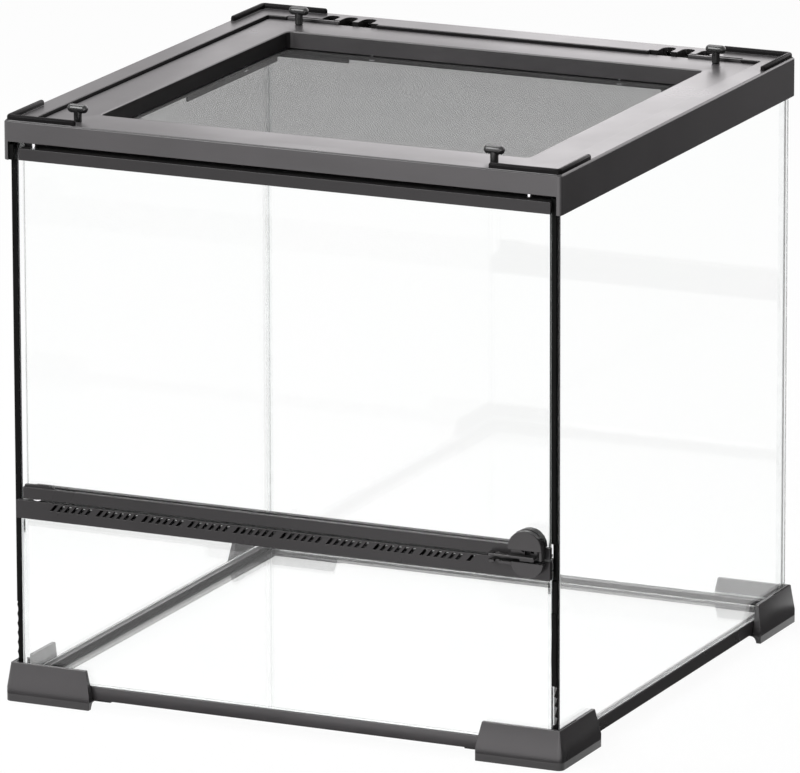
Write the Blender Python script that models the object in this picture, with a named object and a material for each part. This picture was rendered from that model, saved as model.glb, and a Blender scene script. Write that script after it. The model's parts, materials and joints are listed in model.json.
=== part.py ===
# Front-opening glass terrarium, about 30 cm a side.
# Metres, +Z up, the door faces -Y. Everything hangs from one root empty that puts the origin
# under the middle of the whole object, on the surface that the feet stand on.
import math

import bpy
import bmesh
from mathutils import Vector

# Fits
GAP = 0.0003               # between pieces that touch
PIVOT_GAP = 0.0003         # radial running clearance round a pin or a post

# Overall, to the outside of the top rim
RIM_WIDTH = 0.3074
RIM_DEPTH = 0.3011
RIM_TOP = 0.3041           # height of the rim's flat top over the ground

# Glass box
GLASS_THICKNESS = 0.0032
GLASS_PLAY = 0.00065       # between the glass and the rim's wall round it
SIDE_GLASS_SETBACK = 0.0026 # of the side panes' front edges behind the lower front pane's face
GLASS_BELOW_RIM = 0.0027   # from the rim's top down to the glass's top

# Base rails under the glass walls
BASE_RAIL_BOTTOM = 0.0048
BASE_RAIL_HEIGHT = 0.0070
BASE_RAIL_WALL = 0.0060    # width of the part that the walls stand on
BASE_LEDGE_WIDTH = 0.0064
BASE_LEDGE_THICKNESS = 0.0010

# Corner feet
FOOT_PROUD = 0.0020        # how far a foot stands out past the rim
FOOT_HEIGHT = 0.0202
FOOT_UPRIGHT = 0.0071      # height of the vertical part, below the slope
FOOT_SLOPE = 0.0023        # how far the slope leans in at its top
FOOT_END_SLOPE = 0.0028    # how far each end leans in at its top
FOOT_LEG_X = 0.0478        # length along the front or back
FOOT_LEG_Y = 0.0490        # length along the side
FOOT_CORNER = 0.0030       # radius of the upright corner
FOOT_FLOOR = 0.0010
FOOT_REACH = 0.0120        # how far the floor reaches in from the outer face
FOOT_SOLE = 0.0026         # width of the strip that stands on the ground
FOOT_TAB = 0.0090          # floor tab past each end, under the rail
FOOT_TAB_LAP = 0.0020      # how far a tab laps the foot's own floor
FOOT_COVE = 0.0030         # radius of the hollow between the sole and the floor

# Silicone and edge strips
BEAD = 0.0028
BASE_BEAD = 0.0020
TRIM_THICKNESS = 0.0008

# Top rim
RIM_SIDE_HEIGHT = 0.0206
RIM_FRONT_HEIGHT = 0.0110
RIM_WALL = 0.0020
RIM_FRONT_LEG = 0.0026     # width of the legs at both ends of the front's opening
RIM_BEVEL = 0.0008
RIM_CORNER = 0.0022
BAND_SIDE = 0.0125         # width of the flat top band, sides, front and back
BAND_FRONT = 0.0108
BAND_BACK = 0.0175
LEDGE_DROP = 0.0045        # from the rim's top down to the ledge that carries the lid
LEDGE_THICKNESS = 0.0020
LEDGE_WIDTH = 0.0103
SKIRT_THICKNESS = 0.0015
SKIRT_DEPTH = 0.0177       # from the rim's top down to the skirt's edge
SKIRT_BLOCK_BACK = 0.0022  # how much deeper the skirt is at the cable ports
SKIRT_BLOCK_SIDE = 0.0048  # how much deeper it is along the rear of the sides
SKIRT_BLOCK_BACK_LENGTH = 0.0414
SKIRT_BLOCK_SIDE_LENGTH = 0.1075
CHANNEL_LIP = 0.0015
CHANNEL_LIP_DEPTH = 0.0119 # from the rim's top down to the lip's edge
FRONT_FLOOR = 0.0016
FRONT_CUT_DEPTH = 0.0150
PIN_BOSS_WIDTH = 0.0076
PIN_BOSS_HEIGHT = 0.0052

# Stacking ribs on the rim's corners
RIB_WIDTH = 0.0030
RIB_HEIGHT = 0.0027
RIB_LENGTH = 0.0400
RIB_INSET = 0.0008
RIB_ROUND = 0.0013
RIB_STEPS = 3

# Cable ports and their sliders
PORT_RADIUS = 0.0036
PORT_FROM_SIDE = 0.04635   # from the rim's side to the outmost port
PORT_PITCH = 0.0107
PORT_COUNT = 3
PORT_DEPTH = 0.0085        # from the rim's inner edge to the port's centre
SLIDER_LENGTH = 0.0300
SLIDER_THICKNESS = 0.0015
SLIDER_FROM_SIDE = 0.02355 # from the rim's side to the slider's outer end, at rest
SLIDER_TRAVEL = 0.0220
GROOVE_BACKLASH = 0.0003

# Screen lid
LID_GAP = 0.0009
LID_PLATE = 0.0025
LID_BEVEL = 0.0003
LID_BAND = 0.0140          # flat outer band before the slope to the opening
LID_BORDER_SIDE = 0.02145  # from the lid's edge to its opening, sides, front and back
LID_BORDER_FRONT = 0.02785
LID_BORDER_BACK = 0.02205
LID_SLOPE_DROP = 0.0007
LID_LIP = 0.0005
LID_DEPTH = 0.0096         # from the lid's top down to the end of the opening's wall
LID_WALL = 0.0040
LID_CORNER = 0.0015
LID_OPENING_CORNER = 0.0035

# Mesh, its retainer and the screws
MESH_THICKNESS = 0.0004
MESH_CELLS = 16
MESH_STRAND = 0.0028
RETAINER_THICKNESS = 0.0012
SCREW_RADIUS = 0.0008
SCREW_HEAD_RADIUS = 0.0015
SCREW_HEAD_HEIGHT = 0.0009
SCREW_HEAD_CHAMFER = 0.0004
SCREW_LENGTH = 0.0040
SCREW_FROM_CORNER = 0.0500 # from each corner of the opening's wall to its nearest screws

# Lid latches: how far each post stands in from the rim's side, and from its front or back
LATCH_FRONT_LEFT = (0.0344, 0.0158)
LATCH_FRONT_RIGHT = (0.0434, 0.0168)
LATCH_BACK_LEFT = (0.0347, 0.0263)
LATCH_BACK_RIGHT = (0.0347, 0.0245)
POST_RADIUS = 0.0021
POST_HEIGHT = 0.0074       # from the lid's top to the middle of the head
HEAD_LENGTH = 0.0112
HEAD_RADIUS = 0.0023
SHAFT_RADIUS = 0.0014
SHAFT_FLARE = 0.0024
SHAFT_FLARE_HEIGHT = 0.0007
CAM_THICKNESS = 0.0022
CAM_WIDTH = 0.0056
CAM_REACH = 0.0095
CAM_SWING_GAP = 0.0010     # between a cam's tip and the hollow that it turns in

# Door
DOOR_END_GAP = 0.0006      # between the rails' channels and the side glass
DOOR_SWING_GAP = 0.0033    # between the door's hinge end and the side glass
RAIL_FACE_REACH = 0.0012   # how far the rails' front walls reach past their channels
DOOR_GLASS_SHORT = 0.0006  # how much shorter than the rails the glass is at each end
DOOR_PROUD = 0.00105       # how far the rails' front faces stand out past the rim
DOOR_RAIL_WALL = 0.0030
DOOR_BACK_WALL = 0.0032
DOOR_BACK_SHORT = 0.0041   # how much shorter the rails' back walls are at each end
DOOR_BOTTOM_GAP = 0.0011   # over the vent rail
DOOR_TOP_GAP = 0.0027      # under the rim
DOOR_BOTTOM_HEIGHT = 0.0060
DOOR_TOP_HEIGHT = 0.0062
DOOR_RAIL_BASE = 0.0014
WEDGE_THICKNESS = 0.0016
WEDGE_START = 0.0010       # height of the wedge at the rail's end
WEDGE_HEIGHT = 0.0017
WEDGE_LENGTH = 0.0125
WEDGE_RUNOUT = 0.0060
HINGE_FROM_END = 0.0073
CATCH_FROM_END = 0.0114    # from the right end of the door rails' channels to the catch pin
HINGE_BEHIND_FRONT = 0.0029
PIN_RADIUS = 0.0010
BUSH_RADIUS = 0.0020
BUSH_HEIGHT = 0.0012
UPPER_PIN_SEAT = 0.0045    # how far the pins reach into the rim
LOWER_PIN_SEAT = 0.0044
WASHER_RADIUS = 0.0026
WASHER_THICKNESS = 0.0005

# Fixed vent rail over the lower front glass
VENT_TOP = 0.1071
VENT_HEIGHT = 0.0097
VENT_BACK_WALL = 0.0020
VENT_ROOF = 0.0007
VENT_WEB = 0.0012
VENT_CHAMBER = 0.0040      # height of the air space behind the slots
VENT_SOLID_LEFT = 0.0166   # solid ends of the rail, outside the air space
VENT_SOLID_RIGHT = 0.0226
SLOTS_IN_GROUP = 6
SLOT_FROM_LEFT = 0.0189    # from the rail's left end to the first slot's foot
SLOT_FROM_RIGHT = 0.0405   # no slot's foot lies nearer to the rail's right end
SLOT_PITCH = 0.0039
SLOT_GROUP_PITCH = 0.0258
SLOT_WIDTH = 0.0017
SLOT_LEAN = 0.0028
SLOT_HEIGHT = 0.0032
SLOT_BELOW_TOP = 0.0009

# Lock: a pull on the door, a keeper on the vent rail and a drop bar between them
LOCK_FROM_END = 0.0101     # from the right ends of the rails' channels to the middle of the pull
PULL_RADIUS = 0.0092
PULL_PROUD = 0.0059        # how far the pull stands out from the door's rail
PULL_CENTRE_RISE = 0.0008
PULL_BACKPLATE = 0.0016
PULL_CHEEK = 0.0037
PEG_RADIUS = 0.0012
PEG_LENGTH = 0.0018
PEG_SPREAD = 0.0050
BAR_THICKNESS = 0.0012
BAR_RISE = 0.00055         # of the bar's underside over the door rail's, at rest
BAR_CHEEK_GAP = 0.0006
LUG_REACH = 0.0208         # from the middle of the pull to the lug's outer end
LUG_WIDTH = 0.0094
LUG_EYE = 0.0017
BOLT_WIDTH = 0.0080
BOLT_THICKNESS = 0.0009
BAR_DROP = 0.0014
BAR_RAISE = 0.0027
KEY_WIDTH = 0.0024
KEEPER_SHIFT = 0.0007      # of the keeper's middle to the right of the pull's
KEEPER_RADIUS = 0.0088
KEEPER_BELOW_VENT = 0.0005 # from the vent rail's top down to the keeper's
KEEPER_HEIGHT = 0.0077
KEEPER_PROUD = 0.0045
KEEPER_LUG = 0.0014
KEEPER_POCKET_SIDE = 0.0006
KEEPER_POCKET_SPARE = 0.0014

# Worked out from the values above, in the plan
RX = RIM_WIDTH / 2
RY = RIM_DEPTH / 2
GX = RX - RIM_WALL - GLASS_PLAY            # outer face of the side glass
GY = RY - RIM_WALL - GLASS_PLAY            # outer face of the back glass, and of the front one
IX = GX - GLASS_THICKNESS
IY = GY - GLASS_THICKNESS
BAND_RECT = (-RX + BAND_SIDE, RX - BAND_SIDE, -RY + BAND_FRONT, RY - BAND_BACK)
RAIL_HALF = IX - DOOR_END_GAP
DOOR_LEFT = -IX + DOOR_SWING_GAP
TRIM_BACK = -GY + SIDE_GLASS_SETBACK - GAP
DOOR_FRONT = -RY - DOOR_PROUD
DOOR_SLOT_FRONT = DOOR_FRONT + DOOR_RAIL_WALL
DOOR_SLOT_BACK = DOOR_SLOT_FRONT + GLASS_THICKNESS + 2 * GAP
HINGE_X = DOOR_LEFT + HINGE_FROM_END
HINGE_Y = DOOR_FRONT + HINGE_BEHIND_FRONT
CATCH_X = RAIL_HALF - CATCH_FROM_END
LOCK_X = RAIL_HALF - LOCK_FROM_END
LOCK_SEAT = DOOR_FRONT - GAP
PULL_FRONT = DOOR_FRONT - PULL_PROUD
LUG_LEFT = LOCK_X - LUG_REACH
KEEPER_X = LOCK_X + KEEPER_SHIFT
KEEPER_FRONT = DOOR_FRONT - KEEPER_PROUD
SLIDER_OUTER_END = RX - SLIDER_FROM_SIDE
SLIDER_INNER_END = SLIDER_OUTER_END - SLIDER_LENGTH
ORIGIN_SHIFT = -(RY + FOOT_PROUD + PULL_FRONT) / 2

# Worked out from the values above, in height
BASE_RAIL_TOP = BASE_RAIL_BOTTOM + BASE_RAIL_HEIGHT
WALL_FOOT = BASE_RAIL_TOP + GAP
GLASS_TOP = RIM_TOP - GLASS_BELOW_RIM
RIM_SIDE_BOTTOM = RIM_TOP - RIM_SIDE_HEIGHT
RIM_FRONT_BOTTOM = RIM_TOP - RIM_FRONT_HEIGHT
LEDGE_TOP = RIM_TOP - LEDGE_DROP
LEDGE_BOTTOM = LEDGE_TOP - LEDGE_THICKNESS
SKIRT_BOTTOM = RIM_TOP - SKIRT_DEPTH
CHANNEL_LIP_BOTTOM = RIM_TOP - CHANNEL_LIP_DEPTH
UPPER_PIN_TOP = RIM_FRONT_BOTTOM + UPPER_PIN_SEAT
LID_BOTTOM = LEDGE_TOP + GAP
LID_TOP = LID_BOTTOM + LID_PLATE
LID_WALL_BOTTOM = LID_TOP - LID_DEPTH
MESH_TOP = LID_WALL_BOTTOM - GAP
RETAINER_TOP = MESH_TOP - MESH_THICKNESS - GAP
RETAINER_BOTTOM = RETAINER_TOP - RETAINER_THICKNESS
SCREW_TIP = RETAINER_BOTTOM + SCREW_LENGTH
CAM_TOP = LID_BOTTOM - GAP
FLARE_TOP = CAM_TOP - CAM_THICKNESS - GAP
VENT_BOTTOM = VENT_TOP - VENT_HEIGHT
VENT_GLASS_STOP = VENT_TOP - VENT_ROOF - VENT_CHAMBER - VENT_WEB
SLOT_TOP = VENT_TOP - SLOT_BELOW_TOP
DOOR_BOTTOM = VENT_TOP + DOOR_BOTTOM_GAP
DOOR_TOP = RIM_FRONT_BOTTOM - DOOR_TOP_GAP
BAR_BOTTOM = DOOR_BOTTOM + BAR_RISE
BAR_TOP = BAR_BOTTOM + BAR_THICKNESS
PULL_FOOT = DOOR_BOTTOM + GAP
PULL_FLAT = BAR_TOP + BAR_RAISE + 2 * GAP
KEEPER_TOP = VENT_TOP - KEEPER_BELOW_VENT
KEEPER_POCKET_BOTTOM = KEEPER_TOP - BAR_DROP - KEEPER_POCKET_SPARE

# Finishes: colour, roughness, metallic, transmission
FINISHES = {
    "plastic": ((0.060, 0.056, 0.060), 0.42, 0.0, 0.0),
    "knob": ((0.020, 0.019, 0.020), 0.35, 0.0, 0.0),
    "glass": ((0.92, 0.97, 0.95), 0.02, 0.0, 1.0),
    "silicone": ((0.012, 0.012, 0.013), 0.50, 0.0, 0.0),
    "steel": ((0.62, 0.62, 0.63), 0.28, 1.0, 0.0),
    "mesh": ((0.10, 0.10, 0.11), 0.45, 0.8, 0.0),
}


def clear_scene():
    for obj in list(bpy.data.objects):
        bpy.data.objects.remove(obj, do_unlink=True)


def make_material(name, finish):
    colour, roughness, metallic, transmission = FINISHES[finish]
    material = bpy.data.materials.new(name + "_finish")
    material.use_nodes = True
    shader = material.node_tree.nodes["Principled BSDF"]
    shader.inputs["Base Color"].default_value = (*colour, 1.0)
    shader.inputs["Roughness"].default_value = roughness
    shader.inputs["Metallic"].default_value = metallic
    shader.inputs["Transmission Weight"].default_value = transmission
    material.diffuse_color = (*colour, 1.0)
    return material


class Carrier:
    """An empty that a body hangs from, with its place in the tank's own frame."""

    def __init__(self, name, place, parent=None):
        self.place = Vector(place)
        self.empty = bpy.data.objects.new(name, None)
        bpy.context.scene.collection.objects.link(self.empty)
        if parent:
            self.empty.parent = parent.empty
            self.empty.location = self.place - parent.place
        else:
            self.empty.location = (0.0, ORIGIN_SHIFT, 0.0)


def finish_object(name, bm, carrier, finish, smooth=False):
    bmesh.ops.remove_doubles(bm, verts=bm.verts, dist=1e-7)
    bmesh.ops.recalc_face_normals(bm, faces=bm.faces)
    bmesh.ops.translate(bm, verts=bm.verts, vec=-carrier.place)
    mesh = bpy.data.meshes.new(name)
    bm.to_mesh(mesh)
    bm.free()
    obj = bpy.data.objects.new(name, mesh)
    bpy.context.scene.collection.objects.link(obj)
    obj.parent = carrier.empty
    if finish:
        mesh.materials.append(make_material(name, finish))
    if smooth:
        mesh.shade_smooth()
        mesh.set_sharp_from_angle(angle=math.radians(35))
    return obj


def add_tool(target, bm, carrier, label, operation):
    """Keep a hidden cutter, or a hidden shape to fuse, and use it on the target."""
    tool = finish_object(target.name + "_" + label, bm, carrier, None)
    tool.hide_render = True
    tool.display_type = "WIRE"
    modifier = target.modifiers.new(label, "BOOLEAN")
    modifier.operation = operation
    modifier.solver = "EXACT"
    modifier.object = tool


def cut(target, bm, carrier, label):
    add_tool(target, bm, carrier, label, "DIFFERENCE")


def fuse(target, bm, carrier, label):
    add_tool(target, bm, carrier, label, "UNION")


def face(bm, verts):
    """Add a face, and leave it out where its corners fall together."""
    ring = []
    for vert in verts:
        if not ring or (vert.co - ring[-1].co).length > 1e-7:
            ring.append(vert)
    if len(ring) > 2 and (ring[0].co - ring[-1].co).length <= 1e-7:
        ring.pop()
    if len(ring) > 2:
        bm.faces.new(ring)


def box(bm, x0, x1, y0, y1, z0, z1):
    prism(bm, [(x0, y0), (x1, y0), (x1, y1), (x0, y1)], "Z", z0, z1)


def prism(bm, outline, axis, low, high):
    """Extrude an outline. Its points are (x, y) for Z, (x, z) for Y and (y, z) for X."""
    def corner(point, level):
        a, b = point
        return {"Z": (a, b, level), "Y": (a, level, b), "X": (level, a, b)}[axis]
    lower = [bm.verts.new(corner(p, low)) for p in outline]
    upper = [bm.verts.new(corner(p, high)) for p in outline]
    bm.faces.new(lower)
    bm.faces.new(list(reversed(upper)))
    for i in range(len(outline)):
        j = (i + 1) % len(outline)
        bm.faces.new((lower[i], lower[j], upper[j], upper[i]))


def circle(cx, cy, radius, sides, start=0.0):
    step = 2 * math.pi / sides
    return [(cx + radius * math.cos(start + i * step), cy + radius * math.sin(start + i * step))
            for i in range(sides)]


def cylinder(bm, axis, cx, cy, radius, low, high, sides=16):
    prism(bm, circle(cx, cy, radius, sides, math.pi / sides), axis, low, high)


def tube(bm, cx, cy, inner, outer, low, high, sides=16):
    """A plain ring about Z."""
    rings = []
    for radius, level in ((outer, low), (outer, high), (inner, high), (inner, low)):
        rings.append([bm.verts.new((x, y, level))
                      for x, y in circle(cx, cy, radius, sides, math.pi / sides)])
    bridge(bm, rings, close_stack=True)


def bridge(bm, rings, close_stack):
    """Join closed loops of equal length, and the last to the first for a frame."""
    count = len(rings)
    for k in range(count if close_stack else count - 1):
        one = rings[k]
        two = rings[(k + 1) % count]
        for i in range(len(one)):
            j = (i + 1) % len(one)
            face(bm, (one[i], one[j], two[j], two[i]))


def rounded_rect(rect, radius, steps):
    """Corner by corner, steps + 1 points each, counter-clockwise from the front left."""
    x0, x1, y0, y1 = rect
    points = []
    for cx, cy, start in ((x0 + radius, y0 + radius, 180), (x1 - radius, y0 + radius, 270),
                          (x1 - radius, y1 - radius, 0), (x0 + radius, y1 - radius, 90)):
        for i in range(steps + 1):
            angle = math.radians(start + 90 * i / steps)
            points.append((cx + radius * math.cos(angle), cy + radius * math.sin(angle)))
    return points


def inset(rect, amount):
    x0, x1, y0, y1 = rect
    return (x0 + amount, x1 - amount, y0 + amount, y1 - amount)


def frame(bm, levels, steps=3):
    """A closed frame from levels of (rectangle, height, corner radius)."""
    rings = []
    for rect, level, radius in levels:
        rings.append([bm.verts.new((x, y, level)) for x, y in rounded_rect(rect, radius, steps)])
    bridge(bm, rings, close_stack=True)


# Glass box

def build_glass(tank):
    side_front = -GY + SIDE_GLASS_SETBACK
    panes = {
        "left_glass": (-GX, -IX, side_front, GY, WALL_FOOT, GLASS_TOP),
        "right_glass": (IX, GX, side_front, GY, WALL_FOOT, GLASS_TOP),
        "back_glass": (-IX + GAP, IX - GAP, IY, GY, WALL_FOOT, GLASS_TOP),
        "lower_front_glass": (-IX + GAP, IX - GAP, -GY, -IY, WALL_FOOT, VENT_GLASS_STOP - GAP),
    }
    for name, extent in panes.items():
        bm = bmesh.new()
        box(bm, *extent)
        finish_object(name, bm, tank, "glass")
    bm = bmesh.new()
    side = GX - BASE_RAIL_WALL - GAP
    depth = GY - BASE_RAIL_WALL - GAP
    floor = BASE_RAIL_BOTTOM + BASE_LEDGE_THICKNESS + GAP
    box(bm, -side, side, -depth, depth, floor, floor + GLASS_THICKNESS)
    finish_object("bottom_glass", bm, tank, "glass")


def build_base_rails(tank):
    """Four L-shaped rails: the walls stand on them and the floor pane lies on their ledge."""
    wall, ledge = BASE_RAIL_WALL, BASE_RAIL_WALL + BASE_LEDGE_WIDTH
    low, high = BASE_RAIL_BOTTOM, BASE_RAIL_TOP
    step = low + BASE_LEDGE_THICKNESS
    section = [(0, low), (0, high), (wall, high), (wall, step), (ledge, step), (ledge, low)]
    for name, sign in (("base_rail_front", -1), ("base_rail_back", 1)):
        bm = bmesh.new()
        prism(bm, [(sign * (GY - d), z) for d, z in section], "X", -GX, GX)
        finish_object(name, bm, tank, "plastic")
    reach = GY - ledge - GAP
    for name, sign in (("base_rail_left", -1), ("base_rail_right", 1)):
        bm = bmesh.new()
        prism(bm, [(sign * (GX - d), z) for d, z in section], "Y", -reach, reach)
        wall_reach = GY - wall - GAP
        finish_object(name, bm, tank, "plastic")
        bm = bmesh.new()
        for end in (-1, 1):
            start = end * (reach - GAP)
            x0, x1 = sorted((sign * GX, sign * (GX - wall)))
            y0, y1 = sorted((start, end * wall_reach))
            box(bm, x0, x1, y0, y1, low + BASE_LEDGE_THICKNESS + GAP, high)
        fuse(bpy.data.objects[name], bm, tank, "wall_ends")


def build_seals(tank):
    """Silicone beads in the inner corners."""
    x = IX - GAP
    back = IY - GAP
    bottom = WALL_FOOT + GAP
    for name, sign in (("seal_back_left", -1), ("seal_back_right", 1)):
        bm = bmesh.new()
        prism(bm, [(sign * x, back), (sign * (x - BEAD), back), (sign * x, back - BEAD)],
              "Z", bottom, CHANNEL_LIP_BOTTOM - GAP)
        finish_object(name, bm, tank, "silicone")
    for name, sign in (("seal_front_left", -1), ("seal_front_right", 1)):
        bm = bmesh.new()
        prism(bm, [(sign * x, -back), (sign * (x - BEAD), -back), (sign * x, -back + BEAD)],
              "Z", bottom, VENT_BOTTOM - GAP)
        finish_object(name, bm, tank, "silicone")
    bm = bmesh.new()
    side = GX - BASE_RAIL_WALL - GAP
    depth = GY - BASE_RAIL_WALL - GAP
    outer = (-side, side, -depth, depth)
    floor = BASE_RAIL_BOTTOM + BASE_LEDGE_THICKNESS + GLASS_THICKNESS + 2 * GAP
    frame(bm, [(outer, floor, 0.0), (outer, floor + BASE_BEAD, 0.0),
               (inset(outer, BASE_BEAD), floor, 0.0)], steps=1)
    finish_object("seal_bottom", bm, tank, "silicone")


def build_edge_trims(tank):
    """Black strips on the front edges of the side panes."""
    for name, sign in (("edge_trim_left", -1), ("edge_trim_right", 1)):
        bm = bmesh.new()
        x0, x1 = sorted((sign * GX, sign * IX))
        box(bm, x0, x1, TRIM_BACK - TRIM_THICKNESS, TRIM_BACK, WALL_FOOT + GAP, RIM_FRONT_BOTTOM - GAP)
        finish_object(name, bm, tank, "silicone")


# Feet

def foot_section():
    """Points of (distance in from the outer face, height), round the foot's cross section."""
    lip = RX + FOOT_PROUD - GX - GAP
    floor_top = BASE_RAIL_BOTTOM - GAP
    floor_bottom = floor_top - FOOT_FLOOR
    cove = [(FOOT_SOLE, 0.0)]
    for i in range(1, 5):
        angle = math.radians(90 * i / 4)
        cove.append((FOOT_SOLE + FOOT_COVE * (1 - math.cos(angle)),
                     floor_bottom * math.sin(angle)))
    return [(0.0, 0.0), (0.0, FOOT_UPRIGHT), (FOOT_SLOPE, FOOT_HEIGHT), (lip, FOOT_HEIGHT),
            (lip, FOOT_UPRIGHT), (lip, floor_top), (FOOT_REACH, floor_top),
            (FOOT_REACH, floor_bottom)] + list(reversed(cove))


def build_feet(tank):
    """Each foot is one section carried round its corner on an arc, between two slanted ends."""
    corner_x = RX + FOOT_PROUD
    corner_y = RY + FOOT_PROUD
    section = foot_section()
    arc_steps = 4
    for name, sx, sy in (("foot_front_left", -1, -1), ("foot_front_right", 1, -1),
                         ("foot_back_left", -1, 1), ("foot_back_right", 1, 1)):
        bm = bmesh.new()
        stations = []

        def lean(z):
            rise = max(0.0, z - FOOT_UPRIGHT) / (FOOT_HEIGHT - FOOT_UPRIGHT)
            return FOOT_END_SLOPE * rise

        stations.append([bm.verts.new((sx * (corner_x - FOOT_LEG_X + lean(z)), sy * (corner_y - d), z))
                         for d, z in section])
        for i in range(arc_steps + 1):
            angle = math.radians(90 * i / arc_steps)
            ring = []
            for d, z in section:
                radius = max(FOOT_CORNER - d, 0.0)
                centre_x = corner_x - max(FOOT_CORNER, d)
                centre_y = corner_y - max(FOOT_CORNER, d)
                ring.append(bm.verts.new((sx * (centre_x + radius * math.sin(angle)),
                                          sy * (centre_y + radius * math.cos(angle)), z)))
            stations.append(ring)
        stations.append([bm.verts.new((sx * (corner_x - d), sy * (corner_y - FOOT_LEG_Y + lean(z)), z))
                         for d, z in section])
        bridge(bm, stations, close_stack=False)
        for end in (stations[0], stations[-1]):
            # The end bends where the slope starts, so it is an upper and a lower face
            upper = [end[i] for i in (1, 2, 3, 4)]
            lower = [end[0], end[1]] + end[4:]
            bm.faces.new(upper)
            bm.faces.new(lower)
        obj = finish_object(name, bm, tank, "plastic")
        tabs = bmesh.new()
        top = BASE_RAIL_BOTTOM - GAP
        inner = FOOT_REACH
        outer = corner_x - GX + GAP
        for along in ("x", "y"):
            if along == "x":
                xs = sorted((sx * (corner_x - FOOT_LEG_X + FOOT_TAB_LAP),
                             sx * (corner_x - FOOT_LEG_X - FOOT_TAB)))
                ys = sorted((sy * (corner_y - outer - FOOT_TAB_LAP), sy * (corner_y - inner)))
            else:
                xs = sorted((sx * (corner_x - outer - FOOT_TAB_LAP), sx * (corner_x - inner)))
                ys = sorted((sy * (corner_y - FOOT_LEG_Y + FOOT_TAB_LAP),
                             sy * (corner_y - FOOT_LEG_Y - FOOT_TAB)))
            box(tabs, xs[0], xs[1], ys[0], ys[1], top - FOOT_FLOOR, top)
        fuse(obj, tabs, tank, "tabs")


# Top rim

def build_rim(tank):
    outer = (-RX, RX, -RY, RY)
    channel_out = inset(outer, RIM_WALL)
    channel_in = (-IX + GAP, IX - GAP, -IY + GAP, IY - GAP)
    channel_wall = inset(channel_in, CHANNEL_LIP)
    channel_top = GLASS_TOP + GAP
    ledge = inset(BAND_RECT, LEDGE_WIDTH)
    skirt_out = inset(ledge, -SKIRT_THICKNESS)
    small = RIM_BEVEL
    bm = bmesh.new()
    frame(bm, [
        (outer, RIM_SIDE_BOTTOM, RIM_CORNER),
        (outer, RIM_TOP - RIM_BEVEL, RIM_CORNER),
        (inset(outer, RIM_BEVEL), RIM_TOP, RIM_CORNER - RIM_BEVEL),
        (inset(BAND_RECT, -RIM_BEVEL / 2), RIM_TOP, small),
        (BAND_RECT, RIM_TOP - RIM_BEVEL / 2, small),
        (BAND_RECT, LEDGE_TOP, small),
        (ledge, LEDGE_TOP, small),
        (ledge, SKIRT_BOTTOM, small),
        (skirt_out, SKIRT_BOTTOM, small),
        (skirt_out, LEDGE_BOTTOM, small),
        (channel_wall, LEDGE_BOTTOM, small),
        (channel_wall, CHANNEL_LIP_BOTTOM, small),
        (channel_in, CHANNEL_LIP_BOTTOM, small),
        (channel_in, channel_top, small),
        (channel_out, channel_top, small),
        (channel_out, RIM_SIDE_BOTTOM, small),
    ])
    rim = finish_object("top_rim", bm, tank, "plastic")

    # The front is open below its face, so that the door's top rail fits under it
    bm = bmesh.new()
    half = RX - RIM_FRONT_LEG
    box(bm, -half, half, -RY - FRONT_CUT_DEPTH, -RY + FRONT_CUT_DEPTH,
        RIM_SIDE_BOTTOM - RIM_WALL, RIM_FRONT_BOTTOM)
    cut(rim, bm, tank, "door_opening")

    # A floor closes the front beam and holds the hinge pin and the catch
    bm = bmesh.new()
    floor_back = -RY + BAND_FRONT
    box(bm, -IX + RIM_WALL, IX - RIM_WALL, -RY + RIM_WALL / 2, floor_back + RIM_WALL,
        RIM_FRONT_BOTTOM, RIM_FRONT_BOTTOM + FRONT_FLOOR)
    fuse(rim, bm, tank, "front_floor")
    bm = bmesh.new()
    for x in (HINGE_X, CATCH_X):
        box(bm, x - PIN_BOSS_WIDTH / 2, x + PIN_BOSS_WIDTH / 2, -RY + RIM_WALL / 2, -IY + RIM_WALL,
            RIM_FRONT_BOTTOM + FRONT_FLOOR / 2, RIM_FRONT_BOTTOM + PIN_BOSS_HEIGHT)
    fuse(rim, bm, tank, "pin_bosses")
    bm = bmesh.new()
    for x in (HINGE_X, CATCH_X):
        cylinder(bm, "Z", x, HINGE_Y, PIN_RADIUS + GAP, RIM_FRONT_BOTTOM - RIM_WALL,
                 UPPER_PIN_TOP + GAP)
    cut(rim, bm, tank, "pin_holes")

    # Deeper skirt at the ports and along the rear of the sides
    x_in, y_in = ledge[1], ledge[3]
    for label, sign in (("left", -1), ("right", 1)):
        bm = bmesh.new()
        xs = sorted((sign * (x_in - SKIRT_BLOCK_BACK_LENGTH), sign * (x_in + GAP)))
        box(bm, xs[0], xs[1], y_in + GAP, y_in + SKIRT_THICKNESS - GAP / 2,
            SKIRT_BOTTOM - SKIRT_BLOCK_BACK, SKIRT_BOTTOM + SKIRT_THICKNESS)
        fuse(rim, bm, tank, "back_skirt_" + label)
        bm = bmesh.new()
        xs = sorted((sign * (x_in + GAP), sign * (x_in + SKIRT_THICKNESS - GAP / 2)))
        box(bm, xs[0], xs[1], y_in - SKIRT_BLOCK_SIDE_LENGTH, y_in + SKIRT_THICKNESS / 2,
            SKIRT_BOTTOM - SKIRT_BLOCK_SIDE, SKIRT_BOTTOM + SKIRT_THICKNESS)
        fuse(rim, bm, tank, "side_skirt_" + label)
    return rim


def arc(centre_x, centre_y, radius, first, last, steps):
    """Points along an arc between two angles in degrees."""
    angles = [math.radians(first + (last - first) * i / steps) for i in range(steps + 1)]
    return [(centre_x + radius * math.cos(a), centre_y + radius * math.sin(a)) for a in angles]


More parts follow.
